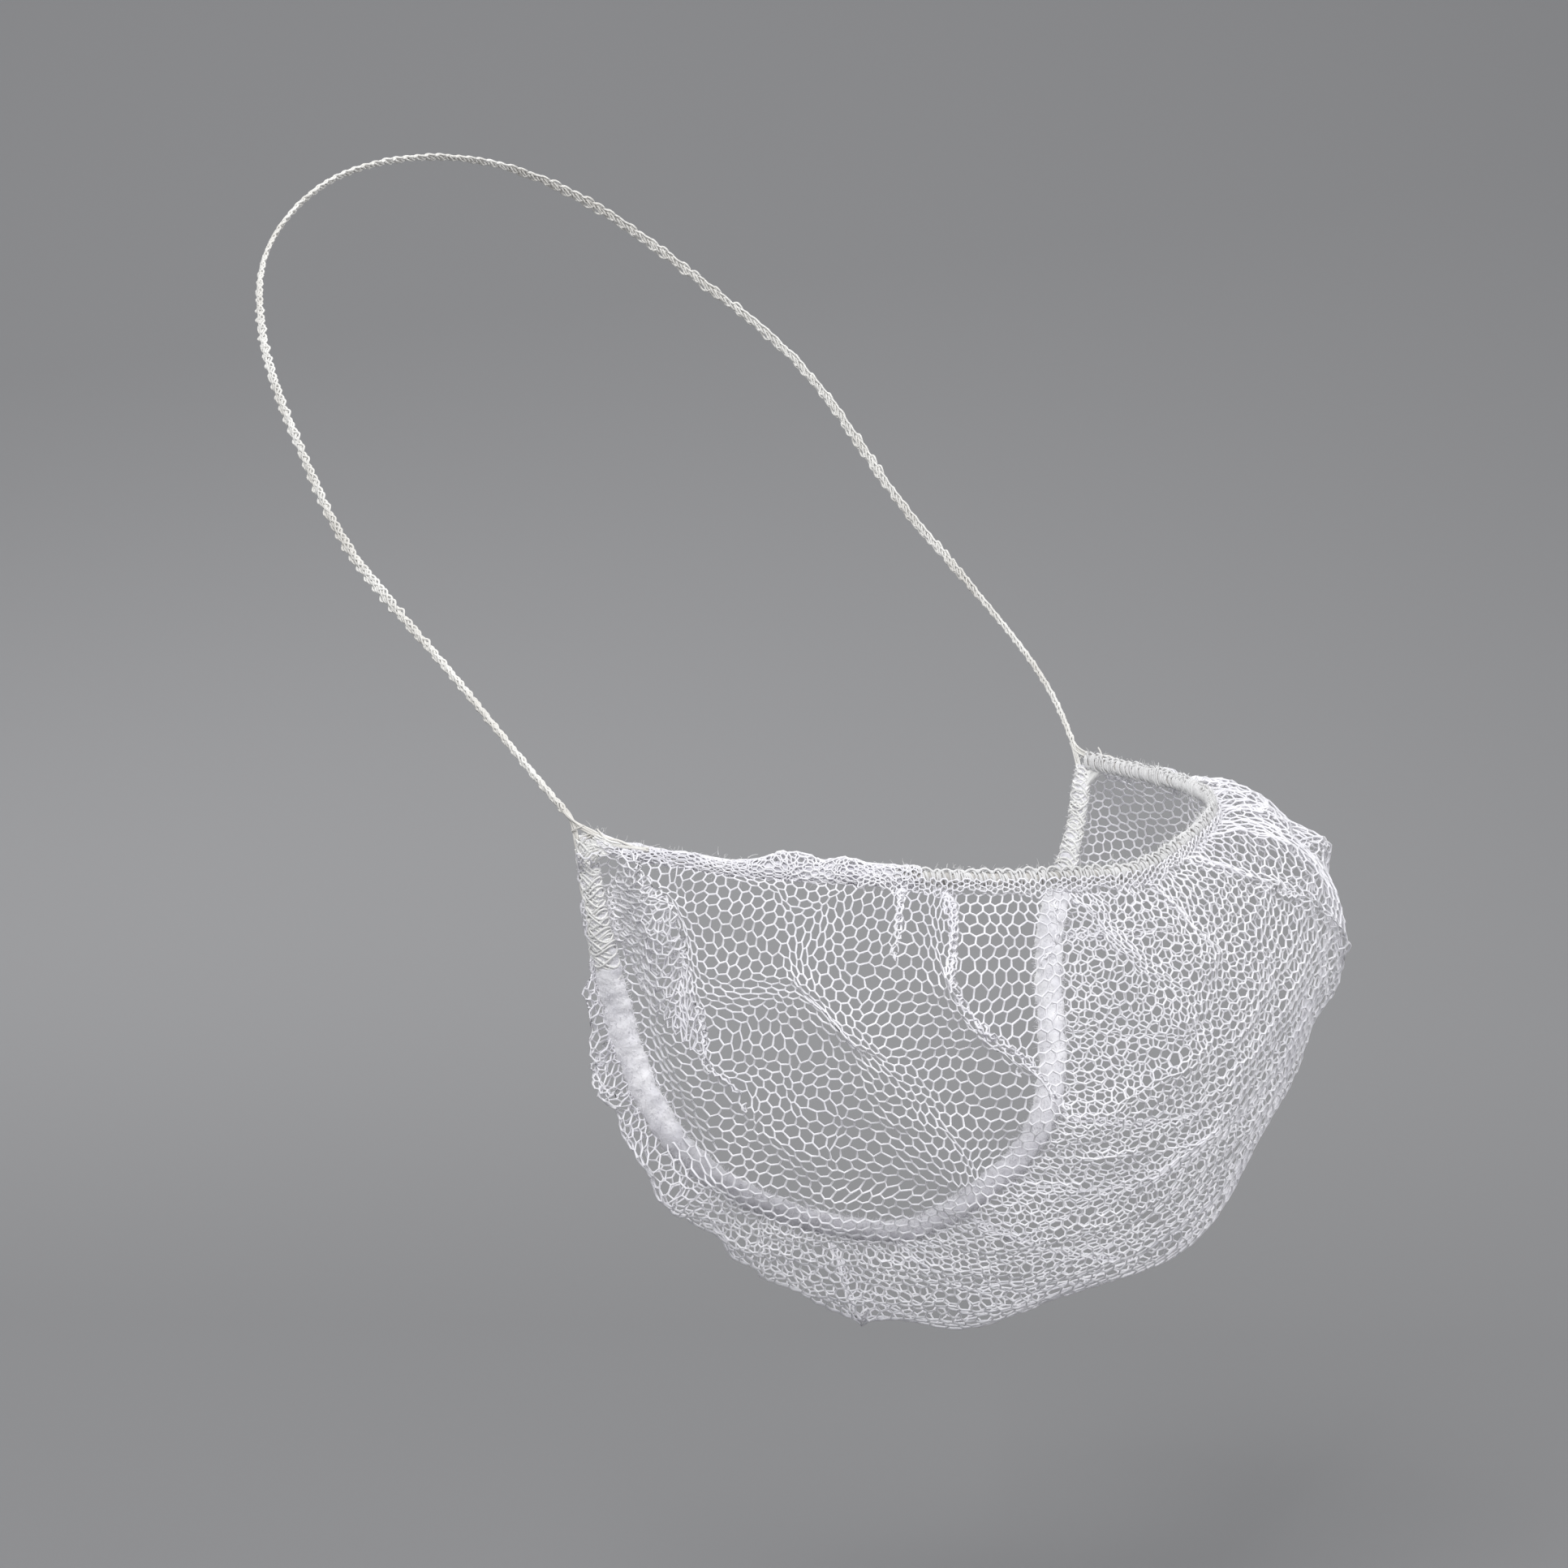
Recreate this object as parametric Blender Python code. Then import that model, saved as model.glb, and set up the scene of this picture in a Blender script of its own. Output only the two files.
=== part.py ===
"""Beard cover in its worn form: a net pouch on a top hem and a chin band, held by an elastic head strap.

Lengths are in metres. The wearer faces -Y, the wearer's left is +X and up is +Z. The origin is the
place where the middle of the strap sits at the back of the crown.
"""

from collections import namedtuple
from math import cos, pi, sin

import bmesh
import bpy
import numpy as np

# The corners where strap, hem and band meet, seen from the strap's seat on the crown
CORNER_HALF = 0.067
CORNER_REACH = 0.1175
CORNER_DROP = 0.119

# The hem under the nose, seen from the corners
HEM_REACH = 0.071
HEM_SAG = 0.0065
HEM_HEIGHT = 0.0046
HEM_THICK = 0.002

# The band round the jaw and under the chin, seen from the corners
BAND_REACH = 0.0165
BAND_DROP = 0.081
BAND_WIDTH = 0.005
BAND_THICK = 0.003

# The strap, and how far strap, hem and band stop short of the point of the corner
STRAP_DIAMETER = 0.0022
STRAP_END = 0.007
FAN_REACH = 0.006

# The net
NET_WALL = 0.001
NET_REACH = 0.060
FOLD_DEPTH = 0.0035
FOLD_WIDTH = 0.009

# The gap that parts sewn to each other keep
CLEARANCE = 0.0003

# The ways in which the hem's height and the band's width lie
UPWARD = np.array([0.0, 0.0, 1.0])
FORWARD = np.array([0.0, -0.98, 0.2])

# How finely the shapes are cut
CURVE_STEPS = 40
HEM_STEPS = 44
BAND_STEPS = 44
SECTION_SIDES = 8
STRAP_STEPS = 78
NET_ACROSS = 64
NET_DOWN = 32
SLOPE_STEP = 0.001

Place = namedtuple("Place", "side forward rise")
Handle = namedtuple("Handle", "at top_side top_forward top_rise low_side low_forward low_rise")
Fold = namedtuple("Fold", "at down to_at to_down width depth")

# Hem line from the right corner to the left one: shares of CORNER_HALF, HEM_REACH and HEM_SAG
HEM_LINE = (
    Place(-1.00, 0.00, 0.00),
    Place(-0.94, 0.18, -0.28),
    Place(-0.84, 0.37, -0.52),
    Place(-0.68, 0.54, -0.74),
    Place(-0.53, 0.72, -0.88),
    Place(-0.36, 0.87, -0.97),
    Place(-0.17, 0.96, -1.00),
    Place(0.02, 1.00, -0.98),
    Place(0.22, 0.97, -0.60),
    Place(0.48, 0.87, -0.15),
    Place(0.72, 0.66, 0.00),
    Place(0.90, 0.35, 0.00),
    Place(1.00, 0.00, 0.00),
)

# Band line from the corner to the middle under the chin: shares of CORNER_HALF, BAND_REACH and BAND_DROP
BAND_LINE = (
    Place(1.00, 0.00, 0.00),
    Place(0.955, 0.00, -0.19),
    Place(0.88, -0.06, -0.39),
    Place(0.75, 0.44, -0.73),
    Place(0.52, 0.88, -0.88),
    Place(0.26, 0.99, -0.96),
    Place(0.00, 1.02, -1.00),
)

# Strap line from the corner to the crown: shares of CORNER_HALF, CORNER_REACH and CORNER_DROP
STRAP_LINE = (
    Place(1.000, 1.000, -1.000),
    Place(1.060, 0.906, -0.901),
    Place(1.090, 0.749, -0.771),
    Place(1.104, 0.600, -0.662),
    Place(1.104, 0.519, -0.597),
    Place(1.080, 0.391, -0.458),
    Place(1.015, 0.264, -0.328),
    Place(0.910, 0.165, -0.240),
    Place(0.790, 0.092, -0.165),
    Place(0.567, 0.030, -0.076),
    Place(0.400, 0.006, -0.035),
    Place(0.000, 0.000, 0.000),
)

# Cross-sections of the net from the right corner to the left one, as shares of NET_REACH. Each is a
# Bezier curve from hem to band, pulled outwards by one handle at the hem and one at the band.
NET_SECTIONS = (
    Handle(0.00, -0.10, 0.05, -0.05, -0.10, 0.00, 0.05),
    Handle(0.12, -0.16, 0.06, -0.12, -0.20, -0.08, -0.08),
    Handle(0.25, -0.26, 0.12, -0.33, -0.32, -0.12, -0.24),
    Handle(0.38, -0.22, 0.30, -0.35, -0.30, 0.25, -0.58),
    Handle(0.50, 0.00, 0.45, -0.33, 0.05, 1.00, -0.48),
    Handle(0.62, 0.48, 0.52, 0.00, 0.45, 0.86, -0.38),
    Handle(0.75, 0.62, 0.46, 0.18, 0.58, 0.52, -0.22),
    Handle(0.88, 0.44, 0.20, 0.14, 0.48, 0.15, -0.05),
    Handle(1.00, 0.10, 0.05, -0.05, 0.10, 0.00, 0.05),
)

# Folds of the net, each a ridge from (at, down) to (to_at, to_down) of the sections above: at runs from
# the right corner to the left one, down from hem to band. Width and depth are shares of FOLD_WIDTH and
# FOLD_DEPTH, and a negative depth is a dent.
NET_FOLDS = (
    Fold(0.30, 0.02, 0.33, 0.18, 0.7, 1.0),
    Fold(0.33, 0.18, 0.43, 0.38, 0.9, 1.0),
    Fold(0.27, 0.02, 0.30, 0.19, 0.7, 0.8),
    Fold(0.17, 0.17, 0.29, 0.27, 1.2, 0.7),
    Fold(0.29, 0.27, 0.43, 0.53, 1.2, 1.0),
    Fold(0.41, 0.02, 0.49, 0.25, 0.8, 0.7),
    Fold(0.47, 0.02, 0.52, 0.19, 0.7, 0.6),
    Fold(0.45, 0.37, 0.50, 0.30, 0.8, 0.7),
    Fold(0.10, 0.20, 0.16, 0.48, 1.3, -0.9),
    Fold(0.16, 0.48, 0.30, 0.62, 1.1, 0.8),
    Fold(0.23, 0.46, 0.31, 0.49, 0.8, 0.6),
    Fold(0.31, 0.44, 0.35, 0.57, 0.9, 0.6),
    Fold(0.24, 0.64, 0.27, 0.88, 1.3, 1.0),
    Fold(0.45, 0.62, 0.46, 0.90, 1.4, 0.8),
    Fold(0.62, 0.05, 0.66, 0.45, 1.3, 0.9),
    Fold(0.73, 0.03, 0.80, 0.50, 1.3, 1.0),
    Fold(0.66, 0.50, 0.62, 0.85, 1.6, -0.9),
    Fold(0.86, 0.12, 0.80, 0.70, 1.3, -0.8),
)


def run_along(points):
    """The length run at each point of a curve."""
    return np.concatenate([[0.0], np.cumsum(np.linalg.norm(np.diff(points, axis=0), axis=1))])


def smooth_curve(rows, steps, cut=0.0):
    """Evenly spaced points on a smooth curve through the rows, with a length cut off each end."""
    rows = np.array(rows, float)
    knots = run_along(rows)
    fine = spline(knots, rows, np.linspace(0.0, knots[-1], CURVE_STEPS * len(rows)))
    run = run_along(fine)
    wanted = np.linspace(cut, run[-1] - cut, steps + 1)
    return np.stack([np.interp(wanted, run, fine[:, axis]) for axis in range(3)], axis=1)


def spline(knots, rows, wanted):
    """The natural cubic spline that passes through rows at the knots, read at the wanted places."""
    count = len(knots)
    width = np.diff(knots)
    slope = np.diff(rows, axis=0) / width[:, None]
    matrix = np.eye(count)
    right = np.zeros_like(rows)
    for row in range(1, count - 1):
        matrix[row, row - 1 : row + 2] = width[row - 1], 2 * (width[row - 1] + width[row]), width[row]
        right[row] = 6 * (slope[row] - slope[row - 1])
    bend = np.linalg.solve(matrix, right)
    span = np.clip(np.searchsorted(knots, wanted, side="right") - 1, 0, count - 2)
    after = (np.asarray(wanted) - knots[span])[:, None]
    before = width[span][:, None] - after
    step = width[span][:, None]
    bent = bend[span] * (before**3 / step - before * step)
    bent += bend[span + 1] * (after**3 / step - after * step)
    return bent / 6 + (rows[span] * before + rows[span + 1] * after) / step


def worn_line(table, reach, drop, start, off_head=0.0):
    """World points of a table's rows: start is the rows' zero, ahead of and below the strap's seat."""
    ahead, below = start
    return [
        (row.side * CORNER_HALF, off_head - ahead - row.forward * reach, row.rise * drop - below)
        for row in table
    ]


def both_sides(left):
    """The left half of a line and its mirror image, from the right corner to the left one."""
    right = [(-x, y, z) for x, y, z in left[:-1]]
    return right + left[::-1]


def hem_path(cut):
    """The middle of the hem's height, from the right corner to the left one."""
    line = worn_line(HEM_LINE, HEM_REACH, HEM_SAG, (CORNER_REACH, CORNER_DROP))
    return smooth_curve(line, HEM_STEPS, cut)


def band_path(cut):
    """The middle of the band, from the right corner under the chin to the left one."""
    line = worn_line(BAND_LINE, BAND_REACH, BAND_DROP, (CORNER_REACH, CORNER_DROP))
    return smooth_curve(both_sides(line), BAND_STEPS, cut)


def strap_path(cut):
    """The middle of the strap, from the right corner over the crown to the left one."""
    line = worn_line(STRAP_LINE, CORNER_REACH, CORNER_DROP, (0.0, 0.0), STRAP_DIAMETER / 2)
    return smooth_curve(both_sides(line), STRAP_STEPS, cut)


def unit(vectors):
    """The vectors at length one."""
    return vectors / np.linalg.norm(vectors, axis=-1, keepdims=True)


def rings_along(path, across, width, thick):
    """Rounded sections along a path: width runs along the across direction, thick at right angles."""
    ahead = unit(np.gradient(path, axis=0))
    out = unit(np.cross(ahead, across))
    wide = unit(np.cross(out, ahead))
    rings = []
    for point, outward, upward in zip(path, out, wide):
        ring = []
        for side in range(SECTION_SIDES):
            turn = 2 * pi * (side + 0.5) / SECTION_SIDES
            ring.append(point + upward * (sin(turn) * width / 2) + outward * (cos(turn) * thick / 2))
        rings.append(ring)
    return rings


def along(curve, at):
    """Points at the given shares of a curve's length."""
    shares = np.linspace(0.0, 1.0, len(curve))
    return np.stack([np.interp(at, shares, curve[:, axis]) for axis in range(3)], axis=1)


def net_edges():
    """The net's sewn edges: under the hem, and on the outer side of the band."""
    hem = hem_path(FAN_REACH)
    band = band_path(FAN_REACH)
    off_band = unit(np.cross(np.gradient(band, axis=0), FORWARD))
    return (
        hem - UPWARD * (HEM_HEIGHT / 2 + CLEARANCE + NET_WALL / 2),
        band + off_band * (BAND_THICK / 2 + CLEARANCE + NET_WALL / 2),
    )


def net_surface(at, down):
    """Points of the net's middle surface without its folds."""
    rows = np.array(NET_SECTIONS)
    pulls = spline(rows[:, 0], rows[:, 1:], at) * NET_REACH
    pulls[:, [1, 4]] *= -1
    top, low = (along(edge, at) for edge in net_edges())
    t = down[:, None]
    s = 1 - t
    upper, lower = top + pulls[:, :3], low + pulls[:, 3:]
    return s**3 * top + 3 * s**2 * t * upper + 3 * s * t**2 * lower + t**3 * low


def net_spans():
    """The net's length from corner to corner and its depth from hem to band, along its middles."""
    evenly = np.linspace(0.0, 1.0, NET_ACROSS)
    middle = np.full(NET_ACROSS, 0.5)
    return np.array([run_along(net_surface(evenly, middle))[-1], run_along(net_surface(middle, evenly))[-1]])


def fold_height(at, down):
    """How far the folds raise the net at each place."""
    spans = net_spans()
    places = np.stack([at, down], axis=1) * spans
    height = np.zeros(len(at))
    for fold in NET_FOLDS:
        start = np.array([fold.at, fold.down]) * spans
        step = np.array([fold.to_at, fold.to_down]) * spans - start
        share = np.clip((places - start) @ step / (step @ step), 0.0, 1.0)
        off = np.linalg.norm(places - start - share[:, None] * step, axis=1)
        height += fold.depth * FOLD_DEPTH * np.exp(-((off / (fold.width * FOLD_WIDTH / 2)) ** 2))
    return height * np.sqrt(np.sin(pi * np.clip(down, 0, 1)) * np.sin(pi * np.clip(at, 0, 1)))


def folded_net(at, down):
    """Points of the net's middle surface with its folds raised outwards; they fade at its edges."""
    aside = net_surface(at + SLOPE_STEP, down) - net_surface(at - SLOPE_STEP, down)
    below = net_surface(at, down + SLOPE_STEP) - net_surface(at, down - SLOPE_STEP)
    outward = unit(np.cross(below, aside))
    return net_surface(at, down) + outward * fold_height(at, down)[:, None]


def cloth_material(name, colour, roughness):
    """A plain knitted material in the photo's colour."""
    material = bpy.data.materials.new(name)
    material.use_nodes = True
    shader = material.node_tree.nodes["Principled BSDF"]
    shader.inputs["Base Color"].default_value = (*colour, 1.0)
    shader.inputs["Roughness"].default_value = roughness
    shader.inputs["Metallic"].default_value = 0.0
    return material


def added(name, data, material):
    """A new object in the scene with its material."""
    data.materials.append(material)
    piece = bpy.data.objects.new(name, data)
    bpy.context.collection.objects.link(piece)
    return piece


def bridged(name, rings, material):
    """A closed solid drawn through rings of points, with flat ends."""
    bm = bmesh.new()
    loops = []
    for ring in rings:
        corners = [bm.verts.new(point) for point in ring]
        loops.append([bm.edges.new((corners[i - 1], corners[i])) for i in range(len(corners))])
    for near, far in zip(loops, loops[1:]):
        bmesh.ops.bridge_loops(bm, edges=near + far)
    bmesh.ops.edgeloop_fill(bm, edges=loops[0])
    bmesh.ops.edgeloop_fill(bm, edges=loops[-1])
    bmesh.ops.recalc_face_normals(bm, faces=bm.faces)
    added(name, finished(bm, name), material)


def finished(bm, name):
    """The bmesh as a smooth-shaded mesh."""
    mesh = bpy.data.meshes.new(name)
    bm.to_mesh(mesh)
    bm.free()
    mesh.shade_smooth()
    return mesh


def build_net():
    """The pouch: a sheet between hem and band, given its wall by Solidify."""
    bm = bmesh.new()
    bmesh.ops.create_grid(bm, x_segments=NET_ACROSS, y_segments=NET_DOWN, size=0.5)
    flat = np.array([vertex.co for vertex in bm.verts])
    for vertex, point in zip(bm.verts, folded_net(flat[:, 0] + 0.5, 0.5 - flat[:, 1])):
        vertex.co = point
    net = added("net_pouch", finished(bm, "net_pouch"), cloth_material("net yarn", (0.86, 0.85, 0.88), 0.7))
    wall = net.modifiers.new("wall", "SOLIDIFY")
    wall.thickness = NET_WALL
    wall.offset = 0.0


def build_strap():
    """The strap: a round cord over the back of the crown."""
    curve = bpy.data.curves.new("head_strap", "CURVE")
    curve.dimensions = "3D"
    curve.bevel_depth = STRAP_DIAMETER / 2
    curve.bevel_resolution = 2
    curve.use_fill_caps = True
    cord = curve.splines.new("POLY")
    points = strap_path(STRAP_END)
    cord.points.add(len(points) - 1)
    for knot, point in zip(cord.points, points):
        knot.co = (*point, 1.0)
    added("head_strap", curve, cloth_material("strap elastic", (0.88, 0.86, 0.82), 0.8))


def hem_rings(cut):
    """The hem's sections."""
    return rings_along(hem_path(cut), UPWARD, HEM_HEIGHT, HEM_THICK)


def band_rings(cut):
    """The band's sections."""
    return rings_along(band_path(cut), FORWARD, BAND_WIDTH, BAND_THICK)


def build_fan(name, end, material):
    """A knitted corner: the web between the ends of hem, band and strap, a clearance short of each."""
    strap_rings = rings_along(strap_path(STRAP_END - CLEARANCE), UPWARD, STRAP_DIAMETER, STRAP_DIAMETER)
    bm = bmesh.new()
    for rings in (hem_rings(FAN_REACH - CLEARANCE), band_rings(FAN_REACH - CLEARANCE), strap_rings):
        for point in rings[end]:
            bm.verts.new(point)
    bmesh.ops.convex_hull(bm, input=bm.verts)
    bmesh.ops.recalc_face_normals(bm, faces=bm.faces)
    added(name, finished(bm, name), material)


def main():
    """Clear the scene and build the pieces."""
    for old in list(bpy.data.objects):
        bpy.data.objects.remove(old, do_unlink=True)
    build_net()
    bridged("top_hem", hem_rings(FAN_REACH), cloth_material("hem knit", (0.90, 0.88, 0.84), 0.8))
    bridged("chin_band", band_rings(FAN_REACH), cloth_material("band fuzz", (0.88, 0.87, 0.91), 0.9))
    build_strap()
    for name, end in (("strap_fan_right", 0), ("strap_fan_left", -1)):
        build_fan(name, end, cloth_material(name + " knit", (0.90, 0.88, 0.84), 0.8))


main()
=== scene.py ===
"""Beard cover in its worn form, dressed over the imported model: net, hem, chin band, strap and corners.

Lengths are in metres. The wearer faces -Y, the wearer's left is +X and up is +Z. The origin is the
place where the middle of the strap sits at the back of the crown.
"""

import logging
from dataclasses import dataclass, field
from enum import Enum
from math import cos, pi, radians, sin, sqrt
from typing import NamedTuple

import bmesh
import bpy
import numpy as np
from mathutils import Matrix, Vector
from mathutils.bvhtree import BVHTree
from mathutils.geometry import barycentric_transform


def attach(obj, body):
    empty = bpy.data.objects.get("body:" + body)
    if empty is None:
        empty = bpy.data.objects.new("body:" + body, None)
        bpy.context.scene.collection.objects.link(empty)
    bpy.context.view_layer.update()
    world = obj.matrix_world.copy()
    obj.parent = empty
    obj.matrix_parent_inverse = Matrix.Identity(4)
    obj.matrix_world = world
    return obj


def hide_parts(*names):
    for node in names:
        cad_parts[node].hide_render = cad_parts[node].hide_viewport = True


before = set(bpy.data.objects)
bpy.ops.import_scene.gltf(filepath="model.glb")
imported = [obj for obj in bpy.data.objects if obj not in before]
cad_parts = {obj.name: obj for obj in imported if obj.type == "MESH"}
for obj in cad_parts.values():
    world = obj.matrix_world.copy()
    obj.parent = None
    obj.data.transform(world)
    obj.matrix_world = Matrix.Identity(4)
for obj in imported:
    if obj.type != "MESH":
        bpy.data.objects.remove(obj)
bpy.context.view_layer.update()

LOG = logging.getLogger("beard_cover")
UPWARD = np.array([0.0, 0.0, 1.0])
FORWARD = np.array([0.0, -0.98, 0.2])
MERGE_DISTANCE = 1e-7
LACE_THREAD = 0.0004
STRAP_STEPS = 420


class Place(NamedTuple):
    """A place on a worn line, as shares of the line's own sizes."""

    side: float
    forward: float
    rise: float


class Pull(NamedTuple):
    """How a cross-section of the net is pulled outwards at the hem and at the band."""

    at: float
    top_side: float
    top_forward: float
    top_rise: float
    low_side: float
    low_forward: float
    low_rise: float


class Fold(NamedTuple):
    """A main fold of the net, a ridge between two places, as the solid has it."""

    at: float
    down: float
    to_at: float
    to_down: float
    width: float
    depth: float


class Ends(Enum):
    """Which ends of a tuck run out into the plain net."""

    BOTH = "both"
    LAST = "last"


class Pleat(NamedTuple):
    """A narrow strip of net folded double over the net along a line of places (at, down)."""

    places: tuple[tuple[float, float], ...]
    width: float
    end_width: float
    turn: float


class Tuck(NamedTuple):
    """Net drawn together along a line of places (at, down): draw is the share that is taken out."""

    places: tuple[tuple[float, float], ...]
    width: float
    draw: float
    rise: float
    fade: Ends


class Overlap(NamedTuple):
    """A flat double fold on the net between two lines of places (at, down)."""

    first: tuple[tuple[float, float], ...]
    last: tuple[tuple[float, float], ...]
    rise: float
    turn: float


class Belly(NamedTuple):
    """A low swelling of the limp net, round a place, or a hollow where its height is below nought."""

    at: float
    down: float
    height: float


class Bulge(NamedTuple):
    """A place along the hem, as a share of its length, where the ruffle stands up."""

    at: float
    width: float
    height: float


class Ruffle(NamedTuple):
    """A layer of net gathered over the hem's core."""

    name: str
    pitch: float
    rows: int
    grow: float
    phase: float


class Winding(NamedTuple):
    """A yarn wound round the band below a corner: its start, its sense and how many points long it is."""

    late: float
    sense: int
    length: int


class Lamp(NamedTuple):
    """A square soft light: where it stands, its width, its power in watts and where it points."""

    name: str
    place: tuple[float, float, float]
    size: float
    power: float
    aim: tuple[float, float, float]


HEM_LINE = (
    Place(-1.00, 0.00, 0.00),
    Place(-0.94, 0.18, -0.28),
    Place(-0.84, 0.37, -0.52),
    Place(-0.68, 0.54, -0.74),
    Place(-0.53, 0.72, -0.88),
    Place(-0.36, 0.87, -0.97),
    Place(-0.17, 0.96, -1.00),
    Place(0.02, 1.00, -0.98),
    Place(0.22, 0.97, -0.60),
    Place(0.48, 0.87, -0.15),
    Place(0.72, 0.66, 0.00),
    Place(0.90, 0.35, 0.00),
    Place(1.00, 0.00, 0.00),
)

BAND_LINE = (
    Place(1.00, 0.00, 0.00),
    Place(0.955, 0.00, -0.19),
    Place(0.88, -0.06, -0.39),
    Place(0.75, 0.44, -0.73),
    Place(0.52, 0.88, -0.88),
    Place(0.26, 0.99, -0.96),
    Place(0.00, 1.02, -1.00),
)

STRAP_LINE = (
    Place(1.000, 1.000, -1.000),
    Place(1.060, 0.906, -0.901),
    Place(1.090, 0.749, -0.771),
    Place(1.104, 0.600, -0.662),
    Place(1.104, 0.519, -0.597),
    Place(1.080, 0.391, -0.458),
    Place(1.015, 0.264, -0.328),
    Place(0.910, 0.165, -0.240),
    Place(0.790, 0.092, -0.165),
    Place(0.567, 0.030, -0.076),
    Place(0.400, 0.006, -0.035),
    Place(0.000, 0.000, 0.000),
)

NET_SECTIONS = (
    Pull(0.00, -0.10, 0.05, -0.05, -0.10, 0.00, 0.05),
    Pull(0.12, -0.16, 0.06, -0.12, -0.20, -0.08, -0.08),
    Pull(0.25, -0.26, 0.12, -0.33, -0.32, -0.12, -0.24),
    Pull(0.38, -0.22, 0.30, -0.35, -0.30, 0.25, -0.58),
    Pull(0.50, 0.00, 0.45, -0.33, 0.05, 1.00, -0.48),
    Pull(0.62, 0.48, 0.52, 0.00, 0.45, 0.86, -0.38),
    Pull(0.75, 0.62, 0.46, 0.18, 0.58, 0.52, -0.22),
    Pull(0.88, 0.44, 0.20, 0.14, 0.48, 0.15, -0.05),
    Pull(1.00, 0.10, 0.05, -0.05, 0.10, 0.00, 0.05),
)

NET_FOLDS = (
    Fold(0.30, 0.02, 0.33, 0.18, 0.7, 1.0),
    Fold(0.33, 0.18, 0.43, 0.38, 0.9, 1.0),
    Fold(0.27, 0.02, 0.30, 0.19, 0.7, 0.8),
    Fold(0.17, 0.17, 0.29, 0.27, 1.2, 0.7),
    Fold(0.29, 0.27, 0.43, 0.53, 1.2, 1.0),
    Fold(0.41, 0.02, 0.49, 0.25, 0.8, 0.7),
    Fold(0.47, 0.02, 0.52, 0.19, 0.7, 0.6),
    Fold(0.45, 0.37, 0.50, 0.30, 0.8, 0.7),
    Fold(0.10, 0.20, 0.16, 0.48, 1.3, -0.9),
    Fold(0.16, 0.48, 0.30, 0.62, 1.1, 0.8),
    Fold(0.23, 0.46, 0.31, 0.49, 0.8, 0.6),
    Fold(0.31, 0.44, 0.35, 0.57, 0.9, 0.6),
    Fold(0.24, 0.64, 0.27, 0.88, 1.3, 1.0),
    Fold(0.45, 0.62, 0.46, 0.90, 1.4, 0.8),
    Fold(0.62, 0.05, 0.66, 0.45, 1.3, 0.9),
    Fold(0.73, 0.03, 0.80, 0.50, 1.3, 1.0),
    Fold(0.66, 0.50, 0.62, 0.85, 1.6, -0.9),
    Fold(0.86, 0.12, 0.80, 0.70, 1.3, -0.8),
)

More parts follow.
